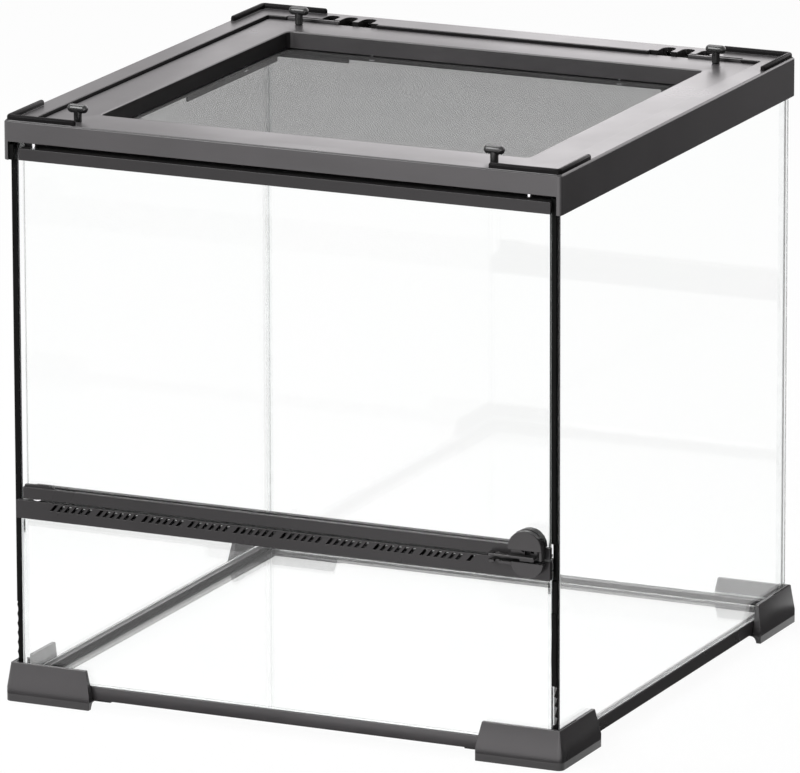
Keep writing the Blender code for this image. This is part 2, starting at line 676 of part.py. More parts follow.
def rib_outline(corner_x, corner_y, sx, sy, shrink):
    """An L with a rounded corner and round ends, the way it lies on the rim's corner."""
    middle = RIB_INSET + RIB_WIDTH / 2
    half = RIB_WIDTH / 2 - shrink
    last = RIB_LENGTH - RIB_WIDTH / 2
    bend = RIB_INSET + RIB_WIDTH
    inner = bend - shrink
    points = arc(corner_x - last, corner_y - middle, half, 270, 90, 4)
    points += arc(corner_x - bend, corner_y - bend, RIB_WIDTH - shrink, 90, 0, 3)
    points += arc(corner_x - middle, corner_y - last, half, 0, -180, 4)
    points.append((corner_x - inner, corner_y - inner))
    return [(sx * x, sy * y) for x, y in points]


def add_ribs(rim, tank):
    bm = bmesh.new()
    for sx in (-1, 1):
        for sy in (-1, 1):
            levels = [(0.0, RIM_TOP - RIM_BEVEL)]
            for i in range(RIB_STEPS + 1):
                angle = math.radians(90 * i / RIB_STEPS)
                levels.append((RIB_ROUND * (1 - math.cos(angle)),
                               RIM_TOP + RIB_HEIGHT - RIB_ROUND * (1 - math.sin(angle))))
            rings = []
            for shrink, level in levels:
                outline = rib_outline(RX, RY, sx, sy, shrink)
                rings.append([bm.verts.new((x, y, level)) for x, y in outline])
            bridge(bm, rings, close_stack=False)
            bm.faces.new(rings[0])
            bm.faces.new(rings[-1])
    fuse(rim, bm, tank, "ribs")


def port_places():
    outmost = RX - PORT_FROM_SIDE
    return [sign * (outmost - i * PORT_PITCH) for sign in (-1, 1) for i in range(PORT_COUNT)]


def cut_ports(rim, tank):
    """U-shaped notches from the back band's inner edge, right through the rim."""
    edge = BAND_RECT[3]
    centre = edge + PORT_DEPTH
    bm = bmesh.new()
    for x in port_places():
        arc = [(x + PORT_RADIUS * math.cos(math.radians(a)), centre + PORT_RADIUS * math.sin(math.radians(a)))
               for a in range(0, 181, 20)]
        outline = [(x + PORT_RADIUS, edge - SLIDER_THICKNESS)] + arc + [(x - PORT_RADIUS, edge - SLIDER_THICKNESS)]
        prism(bm, outline, "Z", LEDGE_TOP + GAP, RIM_TOP + RIB_HEIGHT)
    cut(rim, bm, tank, "port_mouths")
    bm = bmesh.new()
    for x in port_places():
        arc = circle(x, centre, PORT_RADIUS - GAP, 18)
        prism(bm, arc, "Z", LEDGE_BOTTOM - LEDGE_THICKNESS, RIM_TOP)
    cut(rim, bm, tank, "port_bores")


def slider_channel():
    """Depth, bottom and top of the groove that the sliders run in."""
    front = BAND_RECT[3]
    bottom = LEDGE_TOP + 2 * GAP
    return front, bottom, RIM_TOP


def cut_slider_grooves(rim, tank):
    front, bottom, top = slider_channel()
    bm = bmesh.new()
    inner = SLIDER_INNER_END - SLIDER_TRAVEL - GAP
    outer = SLIDER_OUTER_END + GAP
    for sign in (-1, 1):
        xs = sorted((sign * inner, sign * outer))
        box(bm, xs[0], xs[1], front - SLIDER_THICKNESS, front + SLIDER_THICKNESS + 2 * GROOVE_BACKLASH,
            bottom, top + RIM_WALL)
    cut(rim, bm, tank, "slider_grooves")


def latch_posts():
    """Name, post, the side that the cam points to at rest, and the way it turns to lock."""
    posts = []
    for name, place, side, out in (("front_left", LATCH_FRONT_LEFT, 1, -1),
                                   ("front_right", LATCH_FRONT_RIGHT, -1, -1),
                                   ("back_left", LATCH_BACK_LEFT, 1, 1),
                                   ("back_right", LATCH_BACK_RIGHT, -1, 1)):
        posts.append((name, (-side * (RX - place[0]), out * (RY - place[1])), side, out))
    return posts


def cut_cam_pockets(rim, tank):
    """Hollows in the ledge and the beam where the cams turn."""
    bm = bmesh.new()
    low = FLARE_TOP - SHAFT_FLARE_HEIGHT - 2 * GAP
    swing = CAM_REACH + CAM_SWING_GAP
    for name, (x, y), side, out in latch_posts():
        edge = BAND_RECT[2] if out < 0 else BAND_RECT[3]
        ys = sorted((y + out * swing, edge - out * (LEDGE_WIDTH + SKIRT_THICKNESS)))
        box(bm, x - swing, x + swing, ys[0], ys[1], low, LEDGE_TOP + GAP)
    cut(rim, bm, tank, "cam_pockets")


def build_sliders(tank):
    front, bottom, top = slider_channel()
    y0 = front + GROOVE_BACKLASH
    y1 = y0 + SLIDER_THICKNESS
    for name, sign in (("left", -1), ("right", 1)):
        place = (sign * (SLIDER_INNER_END + SLIDER_OUTER_END) / 2, (y0 + y1) / 2, (bottom + top) / 2)
        carrier = Carrier("slider_" + name + "_axis", place, tank)
        bm = bmesh.new()
        xs = sorted((sign * SLIDER_INNER_END, sign * SLIDER_OUTER_END))
        box(bm, xs[0], xs[1], y0, y1, bottom + GAP, top - GAP)
        finish_object("cable_slider_" + name, bm, carrier, "plastic")


# Lid

def lid_rects():
    edge = inset(BAND_RECT, LID_GAP)
    x0, x1, y0, y1 = edge
    opening = (x0 + LID_BORDER_SIDE, x1 - LID_BORDER_SIDE, y0 + LID_BORDER_FRONT, y1 - LID_BORDER_BACK)
    return edge, opening


def build_lid(lid):
    edge, opening = lid_rects()
    flat = inset(edge, LID_BAND)
    wall = inset(opening, -LID_WALL)
    lip = inset(opening, -LID_LIP)
    corner = LID_CORNER
    inner_corner = LID_OPENING_CORNER
    bm = bmesh.new()
    frame(bm, [
        (edge, LID_BOTTOM, corner),
        (edge, LID_TOP - LID_BEVEL, corner),
        (inset(edge, LID_BEVEL), LID_TOP, corner),
        (flat, LID_TOP, corner),
        (lip, LID_TOP - LID_SLOPE_DROP, inner_corner),
        (opening, LID_TOP - LID_SLOPE_DROP - LID_LIP, inner_corner),
        (opening, LID_WALL_BOTTOM, inner_corner),
        (wall, LID_WALL_BOTTOM, inner_corner + LID_WALL),
        (wall, LID_BOTTOM, inner_corner + LID_WALL),
    ])
    obj = finish_object("lid_frame", bm, lid, "plastic")
    bm = bmesh.new()
    for name, (x, y), side, out in latch_posts():
        cylinder(bm, "Z", x, y, SHAFT_RADIUS + PIVOT_GAP, LID_BOTTOM - LID_PLATE, LID_TOP + LID_PLATE)
    cut(obj, bm, lid, "post_holes")
    bm = bmesh.new()
    for x, y in screw_places():
        cylinder(bm, "Z", x, y, SCREW_RADIUS + GAP, LID_WALL_BOTTOM - LID_WALL,
                 SCREW_TIP + GAP, 10)
    cut(obj, bm, lid, "screw_holes")


def screw_places():
    """Two screws on each side of the lid's wall."""
    _, opening = lid_rects()
    middle = inset(opening, -LID_WALL / 2)
    x0, x1, y0, y1 = middle
    places = []
    for x in (x0 + SCREW_FROM_CORNER, x1 - SCREW_FROM_CORNER):
        places += [(x, y0), (x, y1)]
    for y in (y0 + SCREW_FROM_CORNER, y1 - SCREW_FROM_CORNER):
        places += [(x0, y), (x1, y)]
    return places


def build_mesh(lid):
    """A flat net: square gaps inside a border that the retainer holds."""
    _, opening = lid_rects()
    outer = inset(opening, -LID_WALL)
    bottom, top = MESH_TOP - MESH_THICKNESS, MESH_TOP
    x0, x1, y0, y1 = outer
    step_x = (opening[1] - opening[0]) / MESH_CELLS
    step_y = (opening[3] - opening[2]) / MESH_CELLS
    half = MESH_STRAND / 2
    xs, ys = [x0], [y0]
    for i in range(MESH_CELLS):
        xs += [opening[0] + i * step_x + half, opening[0] + (i + 1) * step_x - half]
        ys += [opening[2] + i * step_y + half, opening[2] + (i + 1) * step_y - half]
    xs.append(x1)
    ys.append(y1)
    bm = bmesh.new()
    grid = [[[bm.verts.new((x, y, z)) for y in ys] for x in xs] for z in (bottom, top)]
    nx, ny = len(xs) - 1, len(ys) - 1

    def solid(i, j):
        return 0 <= i < nx and 0 <= j < ny and not (i % 2 == 1 and j % 2 == 1)

    low, high = grid
    for i in range(nx):
        for j in range(ny):
            if not solid(i, j):
                continue
            bm.faces.new((low[i][j], low[i][j + 1], low[i + 1][j + 1], low[i + 1][j]))
            bm.faces.new((high[i][j], high[i + 1][j], high[i + 1][j + 1], high[i][j + 1]))
            for di, dj, a, b in ((-1, 0, (i, j), (i, j + 1)), (1, 0, (i + 1, j), (i + 1, j + 1)),
                                 (0, -1, (i, j), (i + 1, j)), (0, 1, (i, j + 1), (i + 1, j + 1))):
                if not solid(i + di, j + dj):
                    bm.faces.new((low[a[0]][a[1]], low[b[0]][b[1]], high[b[0]][b[1]], high[a[0]][a[1]]))
    obj = finish_object("lid_mesh", bm, lid, "mesh")
    bm = bmesh.new()
    for x, y in screw_places():
        cylinder(bm, "Z", x, y, SCREW_RADIUS + GAP, bottom - MESH_THICKNESS, top + MESH_THICKNESS, 10)
    cut(obj, bm, lid, "screw_holes")


def build_retainer(lid):
    _, opening = lid_rects()
    outer = inset(opening, -LID_WALL)
    bottom, top = RETAINER_BOTTOM, RETAINER_TOP
    bm = bmesh.new()
    frame(bm, [(outer, bottom, LID_CORNER), (outer, top, LID_CORNER),
               (opening, top, LID_OPENING_CORNER), (opening, bottom, LID_OPENING_CORNER)])
    obj = finish_object("mesh_retainer", bm, lid, "plastic")
    bm = bmesh.new()
    for x, y in screw_places():
        cylinder(bm, "Z", x, y, SCREW_RADIUS + GAP, bottom - RETAINER_THICKNESS,
                 top + RETAINER_THICKNESS, 10)
    cut(obj, bm, lid, "screw_holes")
    for i, (x, y) in enumerate(screw_places()):
        bm = bmesh.new()
        rings = []
        seat = bottom - GAP
        crown = seat - SCREW_HEAD_HEIGHT
        for radius, level in ((SCREW_HEAD_RADIUS - SCREW_HEAD_CHAMFER, crown),
                              (SCREW_HEAD_RADIUS, crown + SCREW_HEAD_CHAMFER),
                              (SCREW_HEAD_RADIUS, seat), (SCREW_RADIUS, seat),
                              (SCREW_RADIUS, SCREW_TIP)):
            rings.append([bm.verts.new((px, py, level)) for px, py in circle(x, y, radius, 10)])
        bridge(bm, rings, close_stack=False)
        bm.faces.new(rings[0])
        bm.faces.new(rings[-1])
        finish_object("retainer_screw_" + "abcdefgh"[i], bm, lid, "steel", smooth=True)


def capsule(bm, centre, length, radius, sides=16, rings=4):
    """A rod along X with round ends."""
    cx, cy, cz = centre
    half = length / 2 - radius
    profile = []
    for i in range(1, rings + 1):
        angle = math.radians(90 * i / rings)
        profile.append((-half - radius * math.cos(angle), radius * math.sin(angle)))
    for i in range(rings, 0, -1):
        angle = math.radians(90 * i / rings)
        profile.append((half + radius * math.cos(angle), radius * math.sin(angle)))
    loops = [[bm.verts.new((cx + x, y, z)) for y, z in circle(cy, cz, r, sides)] for x, r in profile]
    bridge(bm, loops, close_stack=False)
    for loop, x in ((loops[0], -half - radius), (loops[-1], half + radius)):
        tip = bm.verts.new((cx + x, cy, cz))
        for i in range(sides):
            bm.faces.new((loop[i], loop[(i + 1) % sides], tip))


def build_latches(lid):
    """A T-knob through the lid, and the cam under the lid that turns with it."""
    for name, (x, y), side, out in latch_posts():
        carrier = Carrier("latch_" + name + "_axis", (x, y, LID_TOP), lid)
        head = LID_TOP + POST_HEIGHT
        bm = bmesh.new()
        capsule(bm, (x, y, head), HEAD_LENGTH, HEAD_RADIUS)
        knob = finish_object("latch_knob_" + name, bm, carrier, "knob", smooth=True)
        bm = bmesh.new()
        rings = []
        for radius, level in ((SHAFT_FLARE, FLARE_TOP - SHAFT_FLARE_HEIGHT), (SHAFT_FLARE, FLARE_TOP),
                              (SHAFT_RADIUS, FLARE_TOP), (SHAFT_RADIUS, LID_TOP + GAP),
                              (POST_RADIUS, LID_TOP + GAP), (POST_RADIUS, head)):
            rings.append([bm.verts.new((px, py, level)) for px, py in circle(x, y, radius, 16)])
        bridge(bm, rings, close_stack=False)
        bm.faces.new(rings[0])
        bm.faces.new(rings[-1])
        fuse(knob, bm, carrier, "post")
        # The cam is a plate with one round end over the shaft and a tongue to one side
        half = CAM_WIDTH / 2
        arc = [(x - side * half * math.sin(math.radians(a)), y + half * math.cos(math.radians(a)))
               for a in range(0, 181, 30)]
        tongue = [(x + side * (CAM_REACH - half / 2), y - half), (x + side * CAM_REACH, y - half / 2),
                  (x + side * CAM_REACH, y + half / 2), (x + side * (CAM_REACH - half / 2), y + half)]
        bm = bmesh.new()
        prism(bm, arc + tongue, "Z", CAM_TOP - CAM_THICKNESS, CAM_TOP)
        cam = finish_object("latch_cam_" + name, bm, carrier, "knob")
        bm = bmesh.new()
        cylinder(bm, "Z", x, y, SHAFT_RADIUS + PIVOT_GAP, CAM_TOP - 2 * CAM_THICKNESS,
                 CAM_TOP + CAM_THICKNESS)
        cut(cam, bm, carrier, "shaft_hole")


# Front: vent rail, door and lock

def trim_rail_ends(rail, carrier, face_back, back, low, high, signs):
    """Behind its front wall a rail ends at its channel, short of the side panes."""
    bm = bmesh.new()
    for sign in signs:
        xs = sorted((sign * RAIL_HALF, sign * (RAIL_HALF + 2 * RAIL_FACE_REACH)))
        box(bm, xs[0], xs[1], face_back - GAP, back + GAP, low - GAP, high + GAP)
    cut(rail, bm, carrier, "channel_ends")


def build_vent_rail(tank):
    front = DOOR_FRONT
    inner_front = -GY - GAP
    inner_back = -IY + GAP
    middle = (inner_front + inner_back) / 2
    back = inner_back + VENT_BACK_WALL
    web = VENT_GLASS_STOP
    slot_bottom = SLOT_TOP - SLOT_HEIGHT
    bm = bmesh.new()
    prism(bm, [(front, VENT_BOTTOM), (inner_front, VENT_BOTTOM), (inner_front, web),
               (inner_back, web), (inner_back, VENT_BOTTOM), (back, VENT_BOTTOM),
               (back, VENT_TOP), (front, VENT_TOP)],
          "X", -RAIL_HALF - RAIL_FACE_REACH, RAIL_HALF + RAIL_FACE_REACH)
    rail = finish_object("vent_rail", bm, tank, "plastic")
    trim_rail_ends(rail, tank, inner_front, back, VENT_BOTTOM, VENT_TOP, (-1, 1))
    bm = bmesh.new()
    windows = bmesh.new()
    start = -RAIL_HALF + SLOT_FROM_LEFT
    limit = RAIL_HALF - SLOT_FROM_RIGHT
    while start < limit:
        feet = [start + i * SLOT_PITCH for i in range(SLOTS_IN_GROUP) if start + i * SLOT_PITCH < limit]
        for x in feet:
            prism(bm, [(x - SLOT_WIDTH / 2, slot_bottom), (x + SLOT_WIDTH / 2, slot_bottom),
                       (x + SLOT_WIDTH / 2 + SLOT_LEAN, SLOT_TOP),
                       (x - SLOT_WIDTH / 2 + SLOT_LEAN, SLOT_TOP)],
                  "Y", front - VENT_BACK_WALL, middle)
        box(windows, feet[0] - SLOT_WIDTH / 2, feet[-1] + SLOT_LEAN, middle,
            back + VENT_BACK_WALL, slot_bottom, SLOT_TOP)
        start += SLOT_GROUP_PITCH
    cut(rail, bm, tank, "slots")
    cut(rail, windows, tank, "back_windows")
    bm = bmesh.new()
    box(bm, -RAIL_HALF + VENT_SOLID_LEFT, RAIL_HALF - VENT_SOLID_RIGHT, inner_front, inner_back,
        web + VENT_WEB, web + VENT_WEB + VENT_CHAMBER)
    cut(rail, bm, tank, "air_space")
    bm = bmesh.new()
    cylinder(bm, "Z", HINGE_X, HINGE_Y, PIN_RADIUS + GAP, VENT_TOP - LOWER_PIN_SEAT - GAP,
             VENT_TOP + VENT_ROOF)
    cut(rail, bm, tank, "pin_hole")
    bm = bmesh.new()
    for x in keeper_pegs():
        cylinder(bm, "Y", x, keeper_peg_height(), PEG_RADIUS + GAP, front - PEG_LENGTH,
                 front + PEG_LENGTH + GAP, 12)
    cut(rail, bm, tank, "peg_holes")


def keeper_pegs():
    return (KEEPER_X - PEG_SPREAD / 2, KEEPER_X + PEG_SPREAD / 2)


def keeper_peg_height():
    return KEEPER_POCKET_BOTTOM - PEG_RADIUS - 2 * GAP


def door_rail(name, base_out, base_in, tip, door):
    """A channel for the door's glass. Heights run from the base's outer face to the tip."""
    front = DOOR_FRONT
    slot_front = DOOR_SLOT_FRONT
    slot_back = DOOR_SLOT_BACK
    back = slot_back + DOOR_BACK_WALL
    bm = bmesh.new()
    prism(bm, [(front, base_out), (slot_back, base_out), (slot_back, base_in),
               (slot_front, base_in), (slot_front, tip), (front, tip)],
          "X", DOOR_LEFT, RAIL_HALF + RAIL_FACE_REACH)
    rail = finish_object(name, bm, door, "plastic")
    low, high = sorted((base_out, tip))
    trim_rail_ends(rail, door, slot_front, slot_back, low, high, (1,))
    bm = bmesh.new()
    left = DOOR_LEFT + DOOR_BACK_SHORT
    right = RAIL_HALF - DOOR_BACK_SHORT
    prism(bm, [(slot_back, low), (back, low), (back, high), (slot_back, high)], "X", left, right)
    low, high = sorted((base_out, base_in))
    fuse(rail, bm, door, "back_wall")
    bm = bmesh.new()
    box(bm, left + GAP, right - GAP, slot_back - DOOR_RAIL_BASE, slot_back + DOOR_RAIL_BASE,
        low + GAP, high - GAP)
    fuse(rail, bm, door, "base_tie")
    return rail


def build_door(door):
    bottom_in = DOOR_BOTTOM + DOOR_RAIL_BASE
    top_in = DOOR_TOP - DOOR_RAIL_BASE
    crest = DOOR_BOTTOM + DOOR_BOTTOM_HEIGHT
    bottom = door_rail("door_bottom_rail", DOOR_BOTTOM, bottom_in, crest, door)
    top = door_rail("door_top_rail", DOOR_TOP, top_in, DOOR_TOP - DOOR_TOP_HEIGHT, door)

    # A low wedge on the bottom rail's front wall backs the glass over the hinge
    bm = bmesh.new()
    left = DOOR_LEFT + GAP
    right = left + WEDGE_LENGTH + WEDGE_RUNOUT
    prism(bm, [(left, crest - WEDGE_START), (right, crest - WEDGE_START), (right, crest),
               (left + WEDGE_LENGTH, crest + WEDGE_HEIGHT), (left, crest + WEDGE_START)],
          "Y", DOOR_SLOT_FRONT - WEDGE_THICKNESS, DOOR_SLOT_FRONT - GAP / 2)
    fuse(bottom, bm, door, "wedge")

    bm = bmesh.new()
    box(bm, DOOR_LEFT + DOOR_GLASS_SHORT, RAIL_HALF - DOOR_GLASS_SHORT,
        DOOR_SLOT_FRONT + GAP, DOOR_SLOT_BACK - GAP,
        bottom_in + GAP, top_in - GAP)
    finish_object("door_glass", bm, door, "glass")

    # Round seats for the bushes, and the bushes
    for rail, name, low, mouth, end in (
            (bottom, "hinge_bush_lower", DOOR_BOTTOM, DOOR_BOTTOM - DOOR_RAIL_BASE,
             DOOR_BOTTOM + BUSH_HEIGHT + GAP),
            (top, "hinge_bush_upper", DOOR_TOP - BUSH_HEIGHT, DOOR_TOP - BUSH_HEIGHT - GAP,
             DOOR_TOP + DOOR_RAIL_BASE)):
        bm = bmesh.new()
        cylinder(bm, "Z", HINGE_X, HINGE_Y, BUSH_RADIUS + GAP, mouth, end)
        cut(rail, bm, door, "bush_seat")
        bm = bmesh.new()
        tube(bm, HINGE_X, HINGE_Y, PIN_RADIUS + PIVOT_GAP, BUSH_RADIUS, low, low + BUSH_HEIGHT)
        finish_object(name, bm, door, "steel", smooth=True)

    bm = bmesh.new()
    for x in pull_pegs():
        cylinder(bm, "Y", x, pull_peg_height(), PEG_RADIUS + GAP, DOOR_FRONT - PEG_LENGTH,
                 DOOR_FRONT + PEG_LENGTH + GAP, 12)
    cut(bottom, bm, door, "peg_holes")


def build_hinge_pins(tank):
    lower_top = DOOR_BOTTOM + BUSH_HEIGHT
    upper_low = DOOR_TOP - BUSH_HEIGHT
    bm = bmesh.new()
    cylinder(bm, "Z", HINGE_X, HINGE_Y, PIN_RADIUS, VENT_TOP - LOWER_PIN_SEAT, lower_top)
    finish_object("hinge_pin_lower", bm, tank, "steel", smooth=True)
    bm = bmesh.new()
    cylinder(bm, "Z", HINGE_X, HINGE_Y, PIN_RADIUS, upper_low, UPPER_PIN_TOP)
    finish_object("hinge_pin_upper", bm, tank, "steel", smooth=True)
    bm = bmesh.new()
    dome = DOOR_TOP + GAP + PIN_RADIUS
    levels = [(PIN_RADIUS * math.cos(math.radians(a)), dome - PIN_RADIUS * math.sin(math.radians(a)))
              for a in (60, 30, 0)]
    levels.append((PIN_RADIUS, UPPER_PIN_TOP))
    rings = []
    for radius, level in levels:
        rings.append([bm.verts.new((px, py, level)) for px, py in circle(CATCH_X, HINGE_Y, radius, 16)])
    bridge(bm, rings, close_stack=False)
    bm.faces.new(rings[0])
    bm.faces.new(rings[-1])
    finish_object("door_catch_pin", bm, tank, "steel", smooth=True)
    bm = bmesh.new()
    tube(bm, HINGE_X, HINGE_Y, PIN_RADIUS + PIVOT_GAP, WASHER_RADIUS, VENT_TOP + GAP,
         VENT_TOP + GAP + WASHER_THICKNESS)
    finish_object("hinge_washer", bm, tank, "steel", smooth=True)


def half_disc(cx, cz, radius, flat, up, steps=10):
    """A half disc in X and Z, with its flat edge at the given height."""
    points = []
    for i in range(steps + 1):
        angle = math.radians(180 * i / steps)
        points.append((cx + radius * math.cos(angle), cz + up * radius * math.sin(angle)))
    if abs(cz - flat) > 1e-6:
        points.append((cx - radius, flat))
        points.append((cx + radius, flat))
    return points


def pull_pegs():
    return (LOCK_X - PEG_SPREAD, LOCK_X + PEG_SPREAD)


def pull_peg_height():
    return (DOOR_BOTTOM + DOOR_BOTTOM_HEIGHT + PULL_FOOT) / 2


def build_pull(door):
    """The door's pull: a half disc over a finger groove, on a backplate with one cheek."""
    face_y = PULL_FRONT
    seat_y = LOCK_SEAT
    plate_y = seat_y - PULL_BACKPLATE
    centre = PULL_FLAT + PULL_CENTRE_RISE
    rail_top = DOOR_BOTTOM + DOOR_BOTTOM_HEIGHT + GAP
    bm = bmesh.new()
    prism(bm, half_disc(LOCK_X, centre, PULL_RADIUS, PULL_FLAT, 1), "Y", face_y, seat_y)
    pull = finish_object("lock_pull", bm, door, "plastic", smooth=True)
    bm = bmesh.new()
    prism(bm, half_disc(LOCK_X, rail_top, PULL_RADIUS - GAP, rail_top, 1), "Y",
          plate_y, DOOR_SLOT_FRONT)
    fuse(pull, bm, door, "upper_back")
    bm = bmesh.new()
    left = LOCK_X - PULL_RADIUS
    right = LOCK_X + PULL_RADIUS
    box(bm, left, right, plate_y, seat_y, PULL_FOOT, PULL_FLAT + PULL_CENTRE_RISE)
    fuse(pull, bm, door, "backplate")
    bm = bmesh.new()
    prism(bm, [(right, face_y + GAP), (right, plate_y + GAP), (right - PULL_CHEEK, plate_y + GAP),
               (right - PULL_CHEEK / 3, face_y + GAP)], "Z", PULL_FOOT, PULL_FLAT + PULL_CENTRE_RISE / 2)
    fuse(pull, bm, door, "cheek")
    bm = bmesh.new()
    box(bm, LOCK_X - KEY_WIDTH / 2 - GAP, LOCK_X + KEY_WIDTH / 2 + GAP, plate_y - GAP, seat_y + GAP,
        PULL_FOOT - PULL_BACKPLATE, PULL_FLAT - GAP)
    cut(pull, bm, door, "key_slot")
    bm = bmesh.new()
    for x in pull_pegs():
        cylinder(bm, "Y", x, pull_peg_height(), PEG_RADIUS, plate_y + GAP, DOOR_FRONT + PEG_LENGTH, 12)
    fuse(pull, bm, door, "pegs")


def build_bar(bar):
    """The drop bar: a finger bar in the groove, with the padlock lug and the bolt."""
    plate_y = LOCK_SEAT - PULL_BACKPLATE
    front = PULL_FRONT + GAP
    back = plate_y - GAP
    left = LUG_LEFT
    right = LOCK_X + PULL_RADIUS - PULL_CHEEK - BAR_CHEEK_GAP
    shoulder = LUG_LEFT + LUG_WIDTH
    lug_back = LOCK_SEAT
    bm = bmesh.new()
    prism(bm, [(left, front + BAR_THICKNESS), (left + BAR_THICKNESS, front), (right, front),
               (right, back), (shoulder, back), (shoulder, lug_back), (left, lug_back)],
          "Z", BAR_BOTTOM, BAR_TOP)
    obj = finish_object("lock_bar", bm, bar, "plastic")
    bm = bmesh.new()
    cylinder(bm, "Z", left + LUG_WIDTH / 2, (front + lug_back) / 2, LUG_EYE, BAR_BOTTOM - BAR_THICKNESS,
             BAR_TOP + BAR_THICKNESS, 14)
    cut(obj, bm, bar, "eye")
    bm = bmesh.new()
    box(bm, LOCK_X - KEY_WIDTH / 2, LOCK_X + KEY_WIDTH / 2, back - BAR_THICKNESS, LOCK_SEAT,
        BAR_BOTTOM + GAP / 2, BAR_TOP - GAP / 2)
    fuse(obj, bm, bar, "key")
    bm = bmesh.new()
    box(bm, LOCK_X - BOLT_WIDTH / 2, LOCK_X + BOLT_WIDTH / 2, back - BOLT_THICKNESS, back - GAP / 2,
        KEEPER_TOP + GAP, BAR_BOTTOM + BAR_THICKNESS / 2)
    fuse(obj, bm, bar, "bolt")


def build_keeper(tank):
    """The fixed lower half of the lock, on the vent rail, with its own lug and the bolt's slot."""
    seat_y = LOCK_SEAT
    back = seat_y - PULL_BACKPLATE - GAP
    bm = bmesh.new()
    shape = []
    steps = 10
    for i in range(steps + 1):
        angle = math.radians(180 + 180 * i / steps)
        shape.append((KEEPER_X + KEEPER_RADIUS * math.cos(angle), KEEPER_TOP + KEEPER_HEIGHT * math.sin(angle)))
    prism(bm, shape, "Y", KEEPER_FRONT, seat_y)
    keeper = finish_object("lock_keeper", bm, tank, "plastic", smooth=True)
    bm = bmesh.new()
    lug_top = KEEPER_TOP - GAP
    prism(bm, [(LUG_LEFT, KEEPER_FRONT + BAR_THICKNESS), (LUG_LEFT + BAR_THICKNESS, KEEPER_FRONT + GAP),
               (KEEPER_X, KEEPER_FRONT + GAP), (KEEPER_X, seat_y - GAP), (LUG_LEFT, seat_y - GAP)],
          "Z", lug_top - KEEPER_LUG, lug_top)
    fuse(keeper, bm, tank, "lug")
    bm = bmesh.new()
    cylinder(bm, "Z", LUG_LEFT + LUG_WIDTH / 2, (PULL_FRONT + GAP + seat_y) / 2, LUG_EYE,
             lug_top - 2 * KEEPER_LUG, lug_top + KEEPER_LUG, 14)
    cut(keeper, bm, tank, "eye")
    bm = bmesh.new()
    box(bm, LOCK_X - BOLT_WIDTH / 2 - KEEPER_POCKET_SIDE, LOCK_X + BOLT_WIDTH / 2 + KEEPER_POCKET_SIDE,
        back - BOLT_THICKNESS - GAP, back + GAP, KEEPER_POCKET_BOTTOM, KEEPER_TOP + BAR_THICKNESS)
    cut(keeper, bm, tank, "bolt_slot")
    bm = bmesh.new()
    for x in keeper_pegs():
        cylinder(bm, "Y", x, keeper_peg_height(), PEG_RADIUS, seat_y - GAP, DOOR_FRONT + PEG_LENGTH, 12)
    fuse(keeper, bm, tank, "pegs")


def main():
    clear_scene()
    tank = Carrier("terrarium", (0.0, 0.0, 0.0))
    door = Carrier("door_axis", (HINGE_X, HINGE_Y, DOOR_BOTTOM), tank)
    bar = Carrier("lock_bar_axis", (LOCK_X, PULL_FRONT, BAR_BOTTOM), door)
    lid = Carrier("lid_axis", (0.0, 0.0, LID_TOP), tank)
    build_glass(tank)
    build_base_rails(tank)
    build_seals(tank)
    build_edge_trims(tank)
    build_feet(tank)
    rim = build_rim(tank)
    add_ribs(rim, tank)
    cut_slider_grooves(rim, tank)
    cut_ports(rim, tank)
    cut_cam_pockets(rim, tank)
    build_sliders(tank)
    build_lid(lid)
    build_mesh(lid)
    build_retainer(lid)
    build_latches(lid)
    build_vent_rail(tank)
    build_door(door)
    build_hinge_pins(tank)
    build_pull(door)
    build_bar(bar)
    build_keeper(tank)


main()
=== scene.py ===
import json
import math

import bmesh
import bpy
from mathutils import Matrix, Vector


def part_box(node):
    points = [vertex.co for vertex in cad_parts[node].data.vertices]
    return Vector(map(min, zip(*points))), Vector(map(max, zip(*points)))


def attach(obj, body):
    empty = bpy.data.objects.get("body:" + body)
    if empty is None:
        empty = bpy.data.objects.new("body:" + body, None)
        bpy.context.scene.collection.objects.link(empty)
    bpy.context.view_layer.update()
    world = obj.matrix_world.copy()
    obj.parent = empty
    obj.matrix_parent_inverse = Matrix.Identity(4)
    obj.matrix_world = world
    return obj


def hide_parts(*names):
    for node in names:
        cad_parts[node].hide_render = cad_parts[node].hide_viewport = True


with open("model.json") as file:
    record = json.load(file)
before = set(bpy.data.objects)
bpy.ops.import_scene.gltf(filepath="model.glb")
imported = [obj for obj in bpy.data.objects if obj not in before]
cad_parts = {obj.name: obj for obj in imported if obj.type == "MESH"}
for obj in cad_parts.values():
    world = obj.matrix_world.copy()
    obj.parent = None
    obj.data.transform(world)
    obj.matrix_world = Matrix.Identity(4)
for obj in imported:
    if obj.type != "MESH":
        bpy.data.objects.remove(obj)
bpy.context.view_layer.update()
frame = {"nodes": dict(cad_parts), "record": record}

MM = 0.001

# Camera, at the photograph's own angle
CAMERA_PLACE = (1.980886, -4.284234, 1.347401)
CAMERA_AZIMUTH = math.radians(24.838)
CAMERA_HEIGHT = math.radians(14.268)
CAMERA_ROLL = math.radians(-0.160)
CAMERA_LENS = 425.594
CAMERA_SENSOR = 36.0
CAMERA_NEAR = 0.1
CAMERA_FAR = 100.0

# Finish of the edges
EDGE_ROUND = 0.35 * MM
SMALL_EDGE_ROUND = 0.2 * MM
ROUND_SEGMENTS = 2
GLASS_ARRIS = 0.35 * MM
WELD = 0.001 * MM
FLAT_ANGLE = math.radians(0.5)
SHARP_ANGLE = math.radians(32.0)
AXIS_ALIGNED = 0.9
PANE_FACE = 0.99
SLANTED = 0.5

